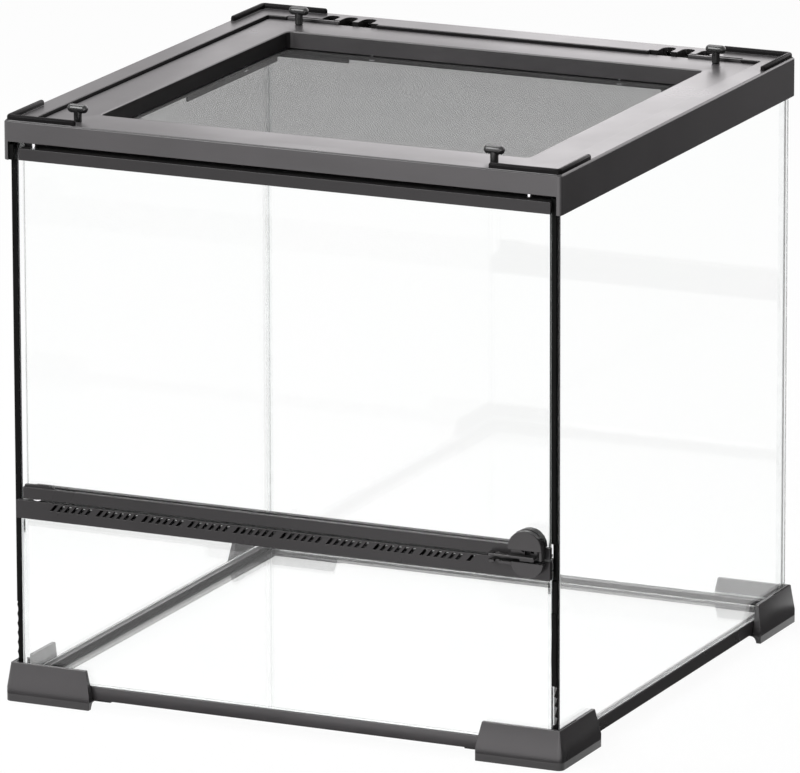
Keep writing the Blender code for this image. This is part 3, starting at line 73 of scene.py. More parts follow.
# Where the rim and the lid change to darker copies of their plastic, which paint shade on the stacking ribs
# and on the recess walls
RIM_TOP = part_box("lid_frame")[1][2] + 1.7 * MM
LID_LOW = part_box("lid_frame")[0][2]
RIB_CLEARANCE = 0.15 * MM

# The lid's screen, and the gauze behind the vent slots with its place in the vent rail
SCREEN_PITCH = 1.35 * MM
SCREEN_WIRE = 0.20 * MM
GAUZE_PITCH = 0.55 * MM
GAUZE_WIRE = 0.26 * MM
GAUZE_FROM_LEFT = 17.95 * MM
GAUZE_FROM_RIGHT = 23.95 * MM
GAUZE_FROM_TOP = 0.8 * MM
GAUZE_BELOW_TOP = 4.65 * MM
GAUZE_FROM_FRONT = 5.3 * MM

# The black beads on the side panes' front edges. Heights are from the ground.
BEAD_STEP = 0.6 * MM
BEAD_ROUND = 0.45 * MM
BEAD_ROUND_MIDDLE = 0.3
BEAD_PROUD = 0.1 * MM
BEAD_FREE_LOW = 21.5 * MM
BEAD_FREE_HIGH = 283.3 * MM
BEAD_TOP = 292.0 * MM
RAIL_LOW = 96.5 * MM
RAIL_HIGH = 115.5 * MM

# The left bead: how far it spills outward, stops short inward and fills the rim's corner, and its scallops
LEFT_SPILL = 0.4 * MM
LEFT_SHORT = 0.5 * MM
LEFT_CORNER_FILL = 3.3 * MM
SCALLOPS_TOP = 52.0 * MM
SCALLOP_PITCH = 5.0 * MM
SCALLOP_DEPTH = 0.55 * MM

# The right bead: its ragged teeth near the foot, the blob over them, and how it fills the gap to the door
RIGHT_SHORT = 0.4 * MM
TEETH_TOP = 42.0 * MM
TOOTH_PITCH = 5.2 * MM
TOOTH_ROOT = 0.7 * MM
TOOTH_LENGTH = 2.3 * MM
BLOB_TOP = 80.0 * MM
BLOB_DEPTH = 2.2 * MM
BLOB_ROLL = 0.3 * MM
BLOB_ROLL_LENGTH = 4.0 * MM
UNDER_RAIL_DEPTH = 1.5 * MM
DOOR_GAP_SIDE = 0.3 * MM
DOOR_GAP_SHORT = 0.9 * MM
DOOR_GAP_DEPTH = 1.7 * MM

# The lip under the rim
LIP_FROM_FRONT = 11.15 * MM
LIP_FROM_SIDE = 6.2 * MM
LIP_THICK = 1.0 * MM
LIP_FOOT = 1.0 * MM
LIP_FILLET = 1.2 * MM
LIP_CHAMFER = 0.4 * MM
LIP_OVER_RAIL = 2.9 * MM
LIP_BELOW_RAIL_TOP = 4.0 * MM

# Materials: the usual range of a noise texture, and how strongly each stuff reflects and bends light
NOISE_LOW = 0.3
NOISE_HIGH = 0.7
GLASS_IOR = 1.5
PLASTIC_IOR = 1.5
# Lower than the frame plastic's, so that the ribs reflect less, as part of their painted shade
RIB_IOR = 1.2
RUBBER_IOR = 1.12
WHITE = (1.0, 1.0, 1.0, 1.0)
CLOUD_SIZE = 35.0 * MM
SCRATCH_SIZE = 0.3 * MM
SCRATCH_DEPTH = 0.002 * MM
SMEAR_SIZE = 60.0 * MM
SEAM_ROLL_SIZE = 6.0 * MM
GROUND_GRAIN = 0.4 * MM
GROUND_DEPTH = 0.005 * MM

# Studio
FLOOR_HALF = 6.0
FLOOR_TONE = (0.35, 0.35, 0.35, 1.0)
FLOOR_GLOW = 1.08
FLOOR_GLOW_SHARE = 0.88
WORLD_LIGHT = 0.24
WORLD_WHITE = 1.0
LAMP_TARGET = (0.0, 0.0, 0.15)
KEY_LAMP_PLACE = (-1.1, -1.9, 1.6)
KEY_LAMP_SIZE = 1.4
KEY_LAMP_WATTS = 60.0
TOP_LAMP_PLACE = (-0.7, 0.4, 1.8)
TOP_LAMP_SIZE = 1.3
TOP_LAMP_WATTS = 22.0
CARD_TONE = (1.0, 0.97, 0.985)
BACK_PANEL_Y = 0.55
BACK_PANEL_LOW = 0.31
BACK_PANEL_HIGH = 1.3
BACK_PANELS = (
    ("back_panel_left", -1.2, -0.38, "soft_light", 0.95),
    ("back_panel_middle", -0.38, -0.2, "middle_light", 1.7),
    ("back_panel_right", -0.2, 1.0, "bright_light", 2.5),
)
FRONT_PANEL_ENDS = ((0.12, -0.69), (0.5, -0.5))
FRONT_PANEL_HIGH = 0.6
FRONT_PANEL_GLOW = 3.0
FLOOR_CARD_FRONT = -2.0
FLOOR_CARD_BACK = -0.165
FLOOR_CARD_HEIGHT = 0.002
FLOOR_CARD_LEFT = -1.6
FLOOR_CARD_RIGHT = 0.9
FLOOR_CARD_SPLIT_FRONT = -0.85
FLOOR_CARD_SPLIT_BACK = 0.0
FLOOR_CARD_LEFT_GLOW = 1.9
FLOOR_CARD_RIGHT_GLOW = 2.8
DARK_CLOTH_GLOW = 0.22
RIGHT_FLAG_CORNERS = ((0.18, -0.16), (1.8, 2.2))
RIGHT_FLAG_HEIGHT = 0.003
BACK_FLAG_ENDS = ((0.1, 0.56), (1.8, 0.56))
BACK_FLAG_HIGH = 0.3
# A dark card under the object, seen only in reflections: painted shadow of the floor there
FLOOR_SHADOW_CARD_CORNERS = ((-0.16, -0.16), (0.175, 0.175))
FLOOR_SHADOW_CARD_HEIGHT = 0.004
FLOOR_SHADOW_CARD_GLOW = 0.12


def node_tree(name):
    """A new material, its node tree and its main shader."""
    material = bpy.data.materials.new(name)
    material.use_nodes = True
    tree = material.node_tree
    return material, tree, tree.nodes["Principled BSDF"]


def add_noise(tree, size, detail=3.0, stretch=(1.0, 1.0, 1.0)):
    """Noise whose features are about size metres across, stretched along the axes."""
    place = tree.nodes.new("ShaderNodeTexCoord")
    mapping = tree.nodes.new("ShaderNodeMapping")
    mapping.inputs["Scale"].default_value = stretch
    texture = tree.nodes.new("ShaderNodeTexNoise")
    texture.inputs["Scale"].default_value = 1.0 / size
    texture.inputs["Detail"].default_value = detail
    tree.links.new(place.outputs["Object"], mapping.inputs["Vector"])
    tree.links.new(mapping.outputs["Vector"], texture.inputs["Vector"])
    return texture.outputs["Fac"]


def add_range(tree, value, low, high):
    """Spreads a noise value over low to high."""
    ranged = tree.nodes.new("ShaderNodeMapRange")
    ranged.inputs["From Min"].default_value = NOISE_LOW
    ranged.inputs["From Max"].default_value = NOISE_HIGH
    ranged.inputs["To Min"].default_value = low
    ranged.inputs["To Max"].default_value = high
    tree.links.new(value, ranged.inputs["Value"])
    return ranged.outputs["Result"]


def add_colours(tree, value, low, high):
    """A colour between low and high, by a noise value."""
    ramp = tree.nodes.new("ShaderNodeValToRGB")
    ramp.color_ramp.elements[0].position = NOISE_LOW
    ramp.color_ramp.elements[0].color = (*low, 1.0)
    ramp.color_ramp.elements[1].position = NOISE_HIGH
    ramp.color_ramp.elements[1].color = (*high, 1.0)
    tree.links.new(value, ramp.inputs["Fac"])
    return ramp.outputs["Color"]


def add_bump(tree, shader, height, distance):
    """Bumps of up to distance metres."""
    bump = tree.nodes.new("ShaderNodeBump")
    bump.inputs["Distance"].default_value = distance
    bump.inputs["Strength"].default_value = 1.0
    tree.links.new(height, bump.inputs["Height"])
    tree.links.new(bump.outputs["Normal"], shader.inputs["Normal"])


def plastic(name, low, high, rough_low, rough_high,
            grain=0.5 * MM, depth=0.004 * MM, level=0.5, ior=PLASTIC_IOR):
    """Moulded plastic with a fine spark-eroded grain and a slow change of gloss and tone."""
    material, tree, shader = node_tree(name)
    cloud = add_noise(tree, CLOUD_SIZE, 4.0)
    fine = add_noise(tree, grain)
    tree.links.new(add_colours(tree, cloud, low, high), shader.inputs["Base Color"])
    tree.links.new(add_range(tree, cloud, rough_low, rough_high), shader.inputs["Roughness"])
    add_bump(tree, shader, fine, depth)
    shader.inputs["IOR"].default_value = ior
    shader.inputs["Specular IOR Level"].default_value = level
    return material


def metal(name, low, high, rough_low, rough_high):
    """Turned or drawn steel, with fine scratches along its length."""
    material, tree, shader = node_tree(name)
    fine = add_noise(tree, SCRATCH_SIZE, stretch=(1.0, 1.0, 0.15))
    tree.links.new(add_colours(tree, fine, low, high), shader.inputs["Base Color"])
    tree.links.new(add_range(tree, fine, rough_low, rough_high), shader.inputs["Roughness"])
    add_bump(tree, shader, fine, SCRATCH_DEPTH)
    shader.inputs["Metallic"].default_value = 1.0
    return material


def let_lamps_through(tree, shader, tint):
    """Makes a clear material cast a tinted shadow instead of a black one."""
    output = tree.nodes["Material Output"]
    path = tree.nodes.new("ShaderNodeLightPath")
    clear = tree.nodes.new("ShaderNodeBsdfTransparent")
    clear.inputs["Color"].default_value = (*tint, 1.0)
    mix = tree.nodes.new("ShaderNodeMixShader")
    tree.links.new(path.outputs["Is Shadow Ray"], mix.inputs["Fac"])
    tree.links.new(shader.outputs["BSDF"], mix.inputs[1])
    tree.links.new(clear.outputs["BSDF"], mix.inputs[2])
    tree.links.new(mix.outputs["Shader"], output.inputs["Surface"])


def glass(name):
    """Clear float glass, its tint changing very slightly across a pane."""
    material, tree, shader = node_tree(name)
    smear = add_noise(tree, SMEAR_SIZE, 2.0, (1.0, 1.0, 0.4))
    tint = add_colours(tree, smear, (0.994, 1.0, 0.997), (1.0, 1.0, 1.0))
    tree.links.new(tint, shader.inputs["Base Color"])
    shader.inputs["Roughness"].default_value = 0.0
    shader.inputs["Transmission Weight"].default_value = 1.0
    shader.inputs["IOR"].default_value = GLASS_IOR
    shader.inputs["Specular IOR Level"].default_value = 0.0
    let_lamps_through(tree, shader, (0.97, 0.98, 0.975))
    return material


def clear_rubber(name):
    """Clear silicone, its tint changing gently along the seam."""
    material, tree, shader = node_tree(name)
    roll = add_noise(tree, SEAM_ROLL_SIZE, 2.0)
    tint = add_colours(tree, roll, (0.90, 0.91, 0.91), (0.97, 0.98, 0.98))
    tree.links.new(tint, shader.inputs["Base Color"])
    shader.inputs["Roughness"].default_value = 0.0
    shader.inputs["Transmission Weight"].default_value = 1.0
    shader.inputs["IOR"].default_value = RUBBER_IOR
    shader.inputs["Specular IOR Level"].default_value = 0.1
    let_lamps_through(tree, shader, (0.93, 0.94, 0.94))
    return material


def ground_edge(name):
    """The ground edge of a pane, satin but still clear."""
    material, tree, shader = node_tree(name)
    fine = add_noise(tree, GROUND_GRAIN)
    tint = add_colours(tree, fine, (0.80, 0.86, 0.84), (0.90, 0.93, 0.92))
    tree.links.new(tint, shader.inputs["Base Color"])
    tree.links.new(add_range(tree, fine, 0.25, 0.4), shader.inputs["Roughness"])
    add_bump(tree, shader, fine, GROUND_DEPTH)
    shader.inputs["Transmission Weight"].default_value = 1.0
    shader.inputs["IOR"].default_value = GLASS_IOR
    let_lamps_through(tree, shader, (0.9, 0.93, 0.92))
    return material


FRAME_PLASTIC = plastic("charcoal_plastic", (0.036, 0.034, 0.0355), (0.044, 0.041, 0.043), 0.27, 0.33)
KNOB_PLASTIC = plastic("black_plastic", (0.012, 0.012, 0.012), (0.018, 0.018, 0.018), 0.20, 0.28,
                       grain=0.3 * MM, depth=0.002 * MM)
RAIL_PLASTIC = plastic("black_rail_plastic", (0.019, 0.018, 0.0185), (0.025, 0.0235, 0.0245), 0.27, 0.33,
                       level=0.22)
# A darker, duller copy of the frame plastic: painted shade on the inward walls of the rim's channel and of
# the lid's recess
SHADED_RECESS_PLASTIC = plastic("painted_shade_recess_plastic", (0.010, 0.0095, 0.010), (0.014, 0.013, 0.0135), 0.5, 0.6,
                         level=0.05)
LOCK_PLASTIC = plastic("glossy_lock_plastic", (0.018, 0.017, 0.0175), (0.024, 0.0225, 0.0235), 0.16, 0.22,
                       level=0.3)
CLEAR_SILICONE = clear_rubber("clear_silicone")
SILICONE = plastic("black_silicone", (0.004, 0.004, 0.004), (0.007, 0.007, 0.007), 0.34, 0.48,
                   grain=2.5 * MM, depth=0.05 * MM, level=0.03)
# A darker, less reflective copy of the frame plastic on the stacking ribs: painted shade that stands in for
# a rounder rib's
RIB_SHADED_PLASTIC = plastic("painted_shade_rib_plastic", (0.010, 0.0095, 0.010), (0.015, 0.014, 0.0145), 0.2, 0.26,
                      level=0.1, ior=RIB_IOR)
STEEL = metal("drawn_steel", (0.45, 0.45, 0.46), (0.60, 0.60, 0.61), 0.22, 0.36)
SCREEN = plastic("coated_wire", (0.006, 0.006, 0.006), (0.012, 0.012, 0.012), 0.35, 0.5,
                 grain=0.2 * MM, depth=0.002 * MM, level=0.2)
GLASS = glass("float_glass")
GLASS_EDGE = ground_edge("ground_glass_edge")
GRIPPED_EDGE = plastic("grey_ground_edge", (0.30, 0.33, 0.32), (0.42, 0.45, 0.44), 0.4, 0.55,
                       grain=GROUND_GRAIN)

BY_SLOT = {
    "glass": GLASS,
    "frame_plastic": FRAME_PLASTIC,
    "knob_plastic": KNOB_PLASTIC,
    "silicone": SILICONE,
    "steel": STEEL,
    "screen": SCREEN,
}

# Nodes with a finish of their own within their slot
FINISH_OF = {
    "vent_rail": RAIL_PLASTIC,
    "door_top_rail": RAIL_PLASTIC,
    "door_bottom_rail": RAIL_PLASTIC,
    "lock_pull": LOCK_PLASTIC,
    "lock_keeper": LOCK_PLASTIC,
    "lock_bar": LOCK_PLASTIC,
    "seal_back_left": CLEAR_SILICONE,
    "seal_back_right": CLEAR_SILICONE,
    "seal_front_left": CLEAR_SILICONE,
    "seal_front_right": CLEAR_SILICONE,
}

BODY_OF = {}
for body, nodes in frame["record"]["behaviour"]["bodies"].items():
    for node in nodes:
        BODY_OF[node] = body

SLOT_OF = {}
for entry in frame["record"]["subparts"]:
    SLOT_OF[entry["node"]] = entry["material_slot"]


def finish_of(node):
    return FINISH_OF.get(node, BY_SLOT[SLOT_OF[node]])


def link(name, bm, materials, node, smooth=True):
    """Makes a bmesh an object of the scene that stands for a CAD node, or adds to one."""
    mesh = bpy.data.meshes.new(name)
    bm.to_mesh(mesh)
    bm.free()
    for material in materials:
        mesh.materials.append(material)
    if smooth:
        mesh.polygons.foreach_set("use_smooth", [True] * len(mesh.polygons))
    piece = bpy.data.objects.new(name, mesh)
    bpy.context.scene.collection.objects.link(piece)
    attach(piece, BODY_OF[node])
    return piece


def round_edges(piece, width, clamp):
    """Rounds a piece's sharp edges off slightly."""
    bevel = piece.modifiers.new("edges", "BEVEL")
    bevel.width = width
    bevel.segments = ROUND_SEGMENTS
    bevel.limit_method = "ANGLE"
    bevel.angle_limit = SHARP_ANGLE
    bevel.use_clamp_overlap = clamp
    bevel.harden_normals = True


def copy_shape(node):
    """A CAD node's shape as a bmesh, its points joined up."""
    source = frame["nodes"][node].data
    points = [vertex.co.copy() for vertex in source.vertices]
    faces = [tuple(polygon.vertices) for polygon in source.polygons]
    plain = bpy.data.meshes.new(node + "_plain")
    plain.from_pydata(points, [], faces)
    bm = bmesh.new()
    bm.from_mesh(plain)
    bpy.data.meshes.remove(plain)
    bmesh.ops.remove_doubles(bm, verts=bm.verts, dist=WELD)
    return bm


def finish_index(node, face):
    """0 for a node's own finish, 1 for the stacking ribs, in a darker copy of the plastic that paints the
    shade of a rounder rib, 2 for the inward walls of the rim's channel and the lid's recess, in a darker
    copy that paints their shade.
    """
    face.normal_update()
    place = face.calc_center_median()
    # Faces above the rim's top are the stacking ribs, which get painted shade
    if node == "top_rim" and place.z > RIM_TOP + RIB_CLEARANCE:
        return 1
    # Inward upright walls get painted shade
    upright_wall = abs(face.normal.z) < SLANTED and place.z > LID_LOW
    across = abs(face.normal.x) > SLANTED
    inward = face.normal.x * place.x < 0.0 if across else face.normal.y * place.y < 0.0
    if upright_wall and inward and (across or node == "top_rim"):
        return 2
    return 0


def build_moulded(node, width):
    """Stands in for a moulded CAD node with the same piece, its sharp edges slightly rounded."""
    bm = copy_shape(node)
    finishes = [finish_of(node)]
    # The rim and the lid get darker copies of their plastic as painted shade on the ribs and the recess
    # walls
    if node in ("top_rim", "lid_frame"):
        finishes += [RIB_SHADED_PLASTIC, SHADED_RECESS_PLASTIC]
        for face in bm.faces:
            face.material_index = finish_index(node, face)
    piece = link(node + "_moulded", bm, finishes, node)
    round_edges(piece, width, False)
    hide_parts(node)


def build_pane(node):
    """A glass pane with its edges ground and their arrises taken off."""
    bm = copy_shape(node)
    bmesh.ops.dissolve_limit(bm, angle_limit=FLAT_ANGLE, verts=bm.verts, edges=bm.edges,
                             use_dissolve_boundaries=False)
    edges = [edge for edge in bm.edges if edge.calc_face_angle(0.0) > SHARP_ANGLE]
    bmesh.ops.bevel(bm, geom=edges, offset=GLASS_ARRIS, offset_type="OFFSET", segments=1,
                    affect="EDGES", clamp_overlap=False)
    low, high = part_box(node)
    size = [high[axis] - low[axis] for axis in range(3)]
    thin = size.index(min(size))
    for face in bm.faces:
        face.normal_update()
        if abs(face.normal[thin]) < PANE_FACE:
            face.material_index = 1
        if node == "door_glass" and face.normal.x > AXIS_ALIGNED:
            face.material_index = 2
        if node == "door_glass" and face.normal.x < -AXIS_ALIGNED:
            face.material_index = 0
    pane = link(node + "_pane", bm, [GLASS, GLASS_EDGE, GRIPPED_EDGE], node, smooth=False)
    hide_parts(node)


def add_skin(bm, rings):
    """A closed skin over rings of points."""
    loops = [[bm.verts.new(point) for point in ring] for ring in rings]
    for first, second in zip(loops, loops[1:]):
        for index in range(len(first)):
            after = (index + 1) % len(first)
            bm.faces.new((first[index], first[after], second[after], second[index]))
    bm.faces.new(list(reversed(loops[0])))
    bm.faces.new(loops[-1])


def add_wire(bm, start, end, side, up):
    """A straight wire of square section, standing on its corner. Side and up are half its width."""
    steps = [up, side, -up, -side]
    add_skin(bm, [[point + step for step in steps] for point in (start, end)])


def build_screen():
    """The lid's screen: fine coated wires in two layers, which cross at every pitch."""
    low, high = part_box("lid_mesh")
    half = SCREEN_WIRE / 2
    middle = (low[2] + high[2]) / 2
    upper, lower = middle + half, middle - half
    along_x, along_y = Vector((half, 0.0, 0.0)), Vector((0.0, -half, 0.0))
    up = Vector((0.0, 0.0, half))
    columns = int((high[0] - low[0]) / SCREEN_PITCH)
    rows = int((high[1] - low[1]) / SCREEN_PITCH)
    bm = bmesh.new()
    for index in range(columns):
        x = low[0] + (index + 0.5) * (high[0] - low[0]) / columns
        add_wire(bm, Vector((x, low[1], upper)), Vector((x, high[1], upper)), along_x, up)
    for index in range(rows):
        y = low[1] + (index + 0.5) * (high[1] - low[1]) / rows
        add_wire(bm, Vector((low[0], y, lower)), Vector((high[0], y, lower)), along_y, up)
    bmesh.ops.recalc_face_normals(bm, faces=bm.faces)
    screen = link("woven_screen", bm, [SCREEN], "lid_mesh", smooth=False)
    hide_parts("lid_mesh")


def build_vent_gauze():
    """Fine black gauze in the vent rail's air space, behind the slots."""
    low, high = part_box("vent_rail")
    left, right = low[0] + GAUZE_FROM_LEFT, high[0] - GAUZE_FROM_RIGHT
    bottom, top = high[2] - GAUZE_BELOW_TOP, high[2] - GAUZE_FROM_TOP
    half = GAUZE_WIRE / 2
    middle = low[1] + GAUZE_FROM_FRONT
    front, back = middle - half, middle + half
    along_x, along_z = Vector((half, 0.0, 0.0)), Vector((0.0, 0.0, half))
    depth = Vector((0.0, half, 0.0))
    columns = int((right - left) / GAUZE_PITCH)
    rows = int((top - bottom) / GAUZE_PITCH)
    bm = bmesh.new()
    for index in range(columns + 1):
        x = left + index * (right - left) / columns
        add_wire(bm, Vector((x, front, bottom)), Vector((x, front, top)), depth, along_x)
    for index in range(rows + 1):
        z = bottom + index * (top - bottom) / rows
        add_wire(bm, Vector((left, back, z)), Vector((right, back, z)), depth, along_z)
    bmesh.ops.recalc_face_normals(bm, faces=bm.faces)
    link("vent_gauze", bm, [SCREEN], "vent_rail", smooth=False)


def moulding(name, rings, material, node):
    """A closed piece over rings of points, its sharp edges rounded, that belongs with a CAD node."""
    bm = bmesh.new()
    add_skin(bm, rings)
    bmesh.ops.recalc_face_normals(bm, faces=bm.faces)
    piece = link(name, bm, [material], node)
    round_edges(piece, SMALL_EDGE_ROUND, True)
    return piece


def bead_ring(left, right, front, back, height):
    """A flattened bead's section at one height, its front corners well rounded."""
    round_ = min(BEAD_ROUND, (right - left) / 3)
    middle = BEAD_ROUND_MIDDLE * round_
    section = [(left, back), (left, front + round_), (left + middle, front + middle),
               (left + round_, front), (right - round_, front),
               (right - middle, front + middle), (right, front + round_), (right, back)]
    return [(x, y, height) for x, y in section]


def bead_heights(low, high):
    """The heights of a bead's rings, all but the last."""
    heights = []
    height = low
    while height < high:
        heights.append(height)
        height += BEAD_STEP
    return heights


def build_left_bead():
    """The bead on the left pane. Near the foot its outer edge is scalloped."""
    low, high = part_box("edge_trim_left")
    rings = []
    for height in bead_heights(low[2], high[2]):
        left, right, front = low[0], high[0] - LEFT_SHORT, low[1] - BEAD_PROUD
        if BEAD_FREE_LOW < height < BEAD_FREE_HIGH:
            left -= LEFT_SPILL
            if height < SCALLOPS_TOP:
                left += SCALLOP_DEPTH * abs(math.sin(math.pi * height / SCALLOP_PITCH))
        elif BEAD_FREE_HIGH < height < BEAD_TOP:
            front = low[1] - LEFT_CORNER_FILL
        rings.append(bead_ring(left, right, front, high[1], height))
    rings.append(bead_ring(low[0], high[0], low[1], high[1], high[2]))
    bead = moulding("edge_bead_left", rings, SILICONE, "edge_trim_left")
    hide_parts("edge_trim_left")


def build_right_bead():
    """The bead on the right pane. Near the foot it thins to a line with ragged teeth."""
    low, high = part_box("edge_trim_right")
    rings = []
    for height in bead_heights(low[2], high[2]):
        left, right, front = low[0], high[0] - RIGHT_SHORT, low[1] - BEAD_PROUD
        if BEAD_FREE_LOW < height < TEETH_TOP:
            tooth = (height / TOOTH_PITCH) % 1.0
            left = high[0] - (TOOTH_ROOT + TOOTH_LENGTH * (1.0 - tooth) * (height / TEETH_TOP))
        elif TEETH_TOP < height < BLOB_TOP:
            front = low[1] - (BLOB_DEPTH + BLOB_ROLL * math.sin(height / BLOB_ROLL_LENGTH))
        elif BLOB_TOP < height < RAIL_LOW:
            front = low[1] - UNDER_RAIL_DEPTH
        elif RAIL_HIGH < height < BEAD_TOP:
            left = low[0] - DOOR_GAP_SIDE
            right = high[0] - DOOR_GAP_SHORT
            front = low[1] - DOOR_GAP_DEPTH
        rings.append(bead_ring(left, right, front, high[1], height))
    rings.append(bead_ring(low[0], high[0] - RIGHT_SHORT, low[1], high[1], high[2]))
    bead = moulding("edge_bead_right", rings, SILICONE, "edge_trim_right")
    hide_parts("edge_trim_right")


def build_rim_lip():
    """A lip under the rim, behind the closed door, that shuts the slit over the door's top rail."""
    rim_low, rim_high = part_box("top_rim")
    rail_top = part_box("door_top_rail")[1][2]
    front = rim_low[1] + LIP_FROM_FRONT
    back = front + LIP_THICK
    top = rail_top + LIP_OVER_RAIL
    bottom = rail_top - LIP_BELOW_RAIL_TOP
    side = rim_high[0] - LIP_FROM_SIDE
    section = [(front, top), (back + LIP_FOOT, top), (back, top - LIP_FILLET), (back, bottom + LIP_CHAMFER),
               (back - LIP_CHAMFER, bottom), (front, bottom)]
    rings = [[(x, y, z) for y, z in section] for x in (-side, 0.0, side)]
    moulding("rim_lip", rings, RAIL_PLASTIC, "top_rim")


def dress_part():
    """Gives every CAD node its finish, then builds the finer pieces over them."""
    for node, piece in frame["nodes"].items():
        piece.data.materials.clear()
        piece.data.materials.append(finish_of(node))
    for node, slot in SLOT_OF.items():
        if slot == "glass":
            build_pane(node)
    for node, slot in SLOT_OF.items():
        if slot == "frame_plastic":
            build_moulded(node, EDGE_ROUND)
        elif slot == "knob_plastic":
            build_moulded(node, SMALL_EDGE_ROUND)
    build_screen()
    build_left_bead()
    build_right_bead()
    build_rim_lip()
    build_vent_gauze()


def seen_by_eye(tree):
    """1 for rays of the camera, of reflections and through glass, 0 for rays that only light things."""
    path = tree.nodes.new("ShaderNodeLightPath")
    value = path.outputs["Is Camera Ray"]
    for kind in ("Is Glossy Ray", "Is Transmission Ray"):
        either = tree.nodes.new("ShaderNodeMath")
        either.operation = "MAXIMUM"
        tree.links.new(value, either.inputs[0])
        tree.links.new(path.outputs[kind], either.inputs[1])
        value = either.outputs["Value"]
    return value


def flat(first, last, height):
    """The corners of a level rectangle."""
    return [(first[0], first[1], height), (last[0], first[1], height),
            (last[0], last[1], height), (first[0], last[1], height)]


def build_floor():
    """A pale floor that keeps the object's shadow and else looks as white as the background."""
    material = bpy.data.materials.new("studio_floor")
    material.use_nodes = True
    tree = material.node_tree
    tree.nodes.clear()
    output = tree.nodes.new("ShaderNodeOutputMaterial")
    share = tree.nodes.new("ShaderNodeMath")
    share.operation = "MULTIPLY"
    share.inputs[1].default_value = FLOOR_GLOW_SHARE
    diffuse = tree.nodes.new("ShaderNodeBsdfDiffuse")
    diffuse.inputs["Color"].default_value = FLOOR_TONE
    glow = tree.nodes.new("ShaderNodeEmission")
    glow.inputs["Color"].default_value = WHITE
    glow.inputs["Strength"].default_value = FLOOR_GLOW
    mix = tree.nodes.new("ShaderNodeMixShader")
    tree.links.new(seen_by_eye(tree), share.inputs[0])
    tree.links.new(share.outputs["Value"], mix.inputs["Fac"])
    tree.links.new(diffuse.outputs["BSDF"], mix.inputs[1])
    tree.links.new(glow.outputs["Emission"], mix.inputs[2])
    tree.links.new(mix.outputs["Shader"], output.inputs["Surface"])
    mesh = bpy.data.meshes.new("floor")
    mesh.from_pydata(flat((-FLOOR_HALF, -FLOOR_HALF), (FLOOR_HALF, FLOOR_HALF), 0.0), [], [(0, 1, 2, 3)])
    mesh.materials.append(material)
    floor = bpy.data.objects.new("floor", mesh)
    bpy.context.scene.collection.objects.link(floor)


def build_world():
    """A white studio to look at, which lights the object only softly."""
    world = bpy.data.worlds.new("studio")
    bpy.context.scene.world = world
    world.use_nodes = True
    tree = world.node_tree
    tree.nodes.clear()
    output = tree.nodes.new("ShaderNodeOutputWorld")
    mix = tree.nodes.new("ShaderNodeMixShader")
    for socket, strength in ((1, WORLD_LIGHT), (2, WORLD_WHITE)):
        background = tree.nodes.new("ShaderNodeBackground")
        background.inputs["Color"].default_value = WHITE
        background.inputs["Strength"].default_value = strength
        tree.links.new(background.outputs["Background"], mix.inputs[socket])
    tree.links.new(seen_by_eye(tree), mix.inputs["Fac"])
    tree.links.new(mix.outputs["Shader"], output.inputs["Surface"])


def add_lamp(name, place, size, energy):
    """A square soft light that shines at the middle of the object."""
    lamp = bpy.data.lights.new(name, "AREA")
    lamp.shape = "RECTANGLE"
    lamp.size = size
    lamp.size_y = size
    lamp.energy = energy
    piece = bpy.data.objects.new(name, lamp)
    bpy.context.scene.collection.objects.link(piece)
    piece.location = place
    aim = Vector(LAMP_TARGET) - Vector(place)
    piece.rotation_euler = aim.to_track_quat("-Z", "Y").to_euler()
    piece.visible_camera = False


def card_glow(name, strength):
    """A card's glow. Clear glass, whose reflections are sharp, sees the white studio behind it."""
    material = bpy.data.materials.new(name)
    material.use_nodes = True
    tree = material.node_tree
    tree.nodes.clear()
    output = tree.nodes.new("ShaderNodeOutputMaterial")
    path = tree.nodes.new("ShaderNodeLightPath")
    glow = tree.nodes.new("ShaderNodeEmission")
    glow.inputs["Color"].default_value = (*CARD_TONE, 1.0)
    glow.inputs["Strength"].default_value = strength
    clear = tree.nodes.new("ShaderNodeBsdfTransparent")
    mix = tree.nodes.new("ShaderNodeMixShader")
    tree.links.new(path.outputs["Is Singular Ray"], mix.inputs["Fac"])
    tree.links.new(glow.outputs["Emission"], mix.inputs[1])
    tree.links.new(clear.outputs["BSDF"], mix.inputs[2])
    tree.links.new(mix.outputs["Shader"], output.inputs["Surface"])
    return material


def add_card(name, corners, material):
    """A studio card that only reflections see."""
    mesh = bpy.data.meshes.new(name)
    mesh.from_pydata(corners, [], [tuple(range(len(corners)))])
    mesh.materials.append(material)
    piece = bpy.data.objects.new(name, mesh)
    bpy.context.scene.collection.objects.link(piece)
    piece.visible_camera = False
    piece.visible_diffuse = False
    piece.visible_transmission = False
    piece.visible_shadow = False


def upright(first, last, low, high):
    """The corners of a standing card over the line from first to last."""
    return [(*first, low), (*last, low), (*last, high), (*first, high)]


def floor_card(front_left, front_right, back_left, back_right):
    """The corners of a card on the floor before the object, from its ends at the front and at the back."""
    outline = [(front_left, FLOOR_CARD_FRONT), (front_right, FLOOR_CARD_FRONT),
               (back_right, FLOOR_CARD_BACK), (back_left, FLOOR_CARD_BACK)]
    return [(x, y, FLOOR_CARD_HEIGHT) for x, y in outline]


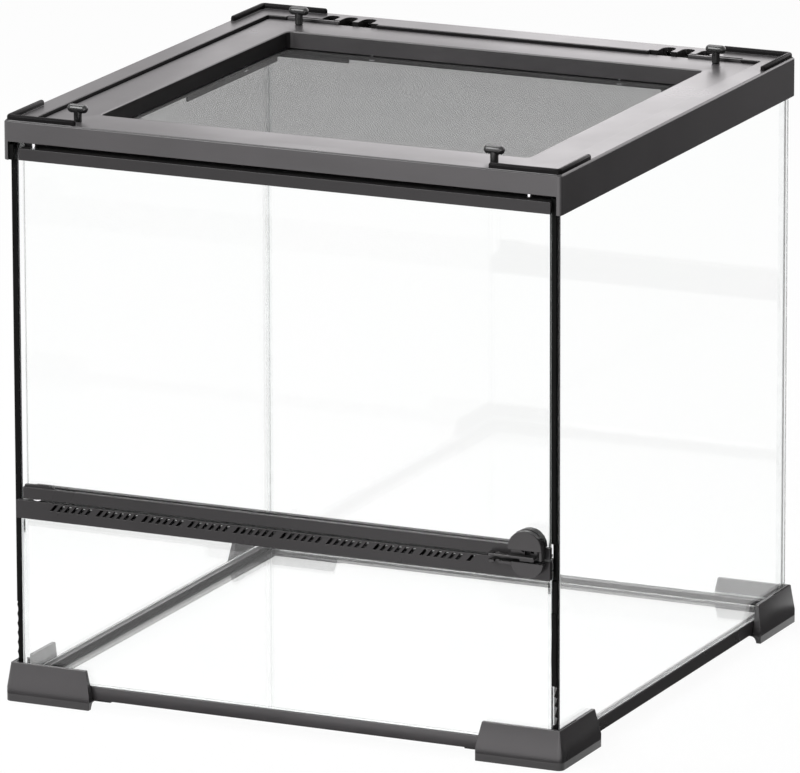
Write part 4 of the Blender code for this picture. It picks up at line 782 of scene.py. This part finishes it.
def build_cards():
    """Light panels behind and before the object, dark cloths beside it, and under it a dark card that
    paints the floor's shadow into reflections.
    """
    for name, left, right, glow, strength in BACK_PANELS:
        corners = upright((left, BACK_PANEL_Y), (right, BACK_PANEL_Y), BACK_PANEL_LOW, BACK_PANEL_HIGH)
        add_card(name, corners, card_glow(glow, strength))
    add_card("front_panel", upright(*FRONT_PANEL_ENDS, 0.0, FRONT_PANEL_HIGH),
             card_glow("strip_light", FRONT_PANEL_GLOW))
    left = floor_card(FLOOR_CARD_LEFT, FLOOR_CARD_SPLIT_FRONT, FLOOR_CARD_LEFT, FLOOR_CARD_SPLIT_BACK)
    add_card("front_floor_left", left, card_glow("left_floor_light", FLOOR_CARD_LEFT_GLOW))
    right = floor_card(FLOOR_CARD_SPLIT_FRONT, FLOOR_CARD_RIGHT, FLOOR_CARD_SPLIT_BACK, FLOOR_CARD_RIGHT)
    add_card("front_floor_right", right, card_glow("right_floor_light", FLOOR_CARD_RIGHT_GLOW))
    dark_cloth = card_glow("dark_cloth", DARK_CLOTH_GLOW)
    add_card("right_flag", flat(*RIGHT_FLAG_CORNERS, RIGHT_FLAG_HEIGHT), dark_cloth)
    add_card("back_flag", upright(*BACK_FLAG_ENDS, 0.0, BACK_FLAG_HIGH), dark_cloth)
    # Painted shadow: the floor under the object, as reflections see it
    add_card("painted_floor_shadow_card", flat(*FLOOR_SHADOW_CARD_CORNERS, FLOOR_SHADOW_CARD_HEIGHT),
             card_glow("painted_floor_shadow", FLOOR_SHADOW_CARD_GLOW))


def build_camera():
    """The photograph's camera, from its azimuth, height and roll."""
    data = bpy.data.cameras.new("camera")
    data.sensor_fit = "HORIZONTAL"
    data.sensor_width = CAMERA_SENSOR
    data.lens = CAMERA_LENS
    data.clip_start = CAMERA_NEAR
    data.clip_end = CAMERA_FAR
    camera = bpy.data.objects.new("camera", data)
    bpy.context.scene.collection.objects.link(camera)
    back = Vector((math.sin(CAMERA_AZIMUTH) * math.cos(CAMERA_HEIGHT),
                   -math.cos(CAMERA_AZIMUTH) * math.cos(CAMERA_HEIGHT),
                   math.sin(CAMERA_HEIGHT)))
    level = Vector((math.cos(CAMERA_AZIMUTH), math.sin(CAMERA_AZIMUTH), 0.0))
    top = back.cross(level)
    right = level * math.cos(CAMERA_ROLL) + top * math.sin(CAMERA_ROLL)
    up = top * math.cos(CAMERA_ROLL) - level * math.sin(CAMERA_ROLL)
    matrix = Matrix((right, up, back)).transposed().to_4x4()
    matrix.translation = Vector(CAMERA_PLACE)
    camera.matrix_world = matrix
    bpy.context.scene.camera = camera


dress_part()
build_floor()
build_world()
add_lamp("key_lamp", KEY_LAMP_PLACE, KEY_LAMP_SIZE, KEY_LAMP_WATTS)
add_lamp("top_lamp", TOP_LAMP_PLACE, TOP_LAMP_SIZE, TOP_LAMP_WATTS)
build_cards()
build_camera()

bpy.context.scene.view_settings.view_transform = "Standard"
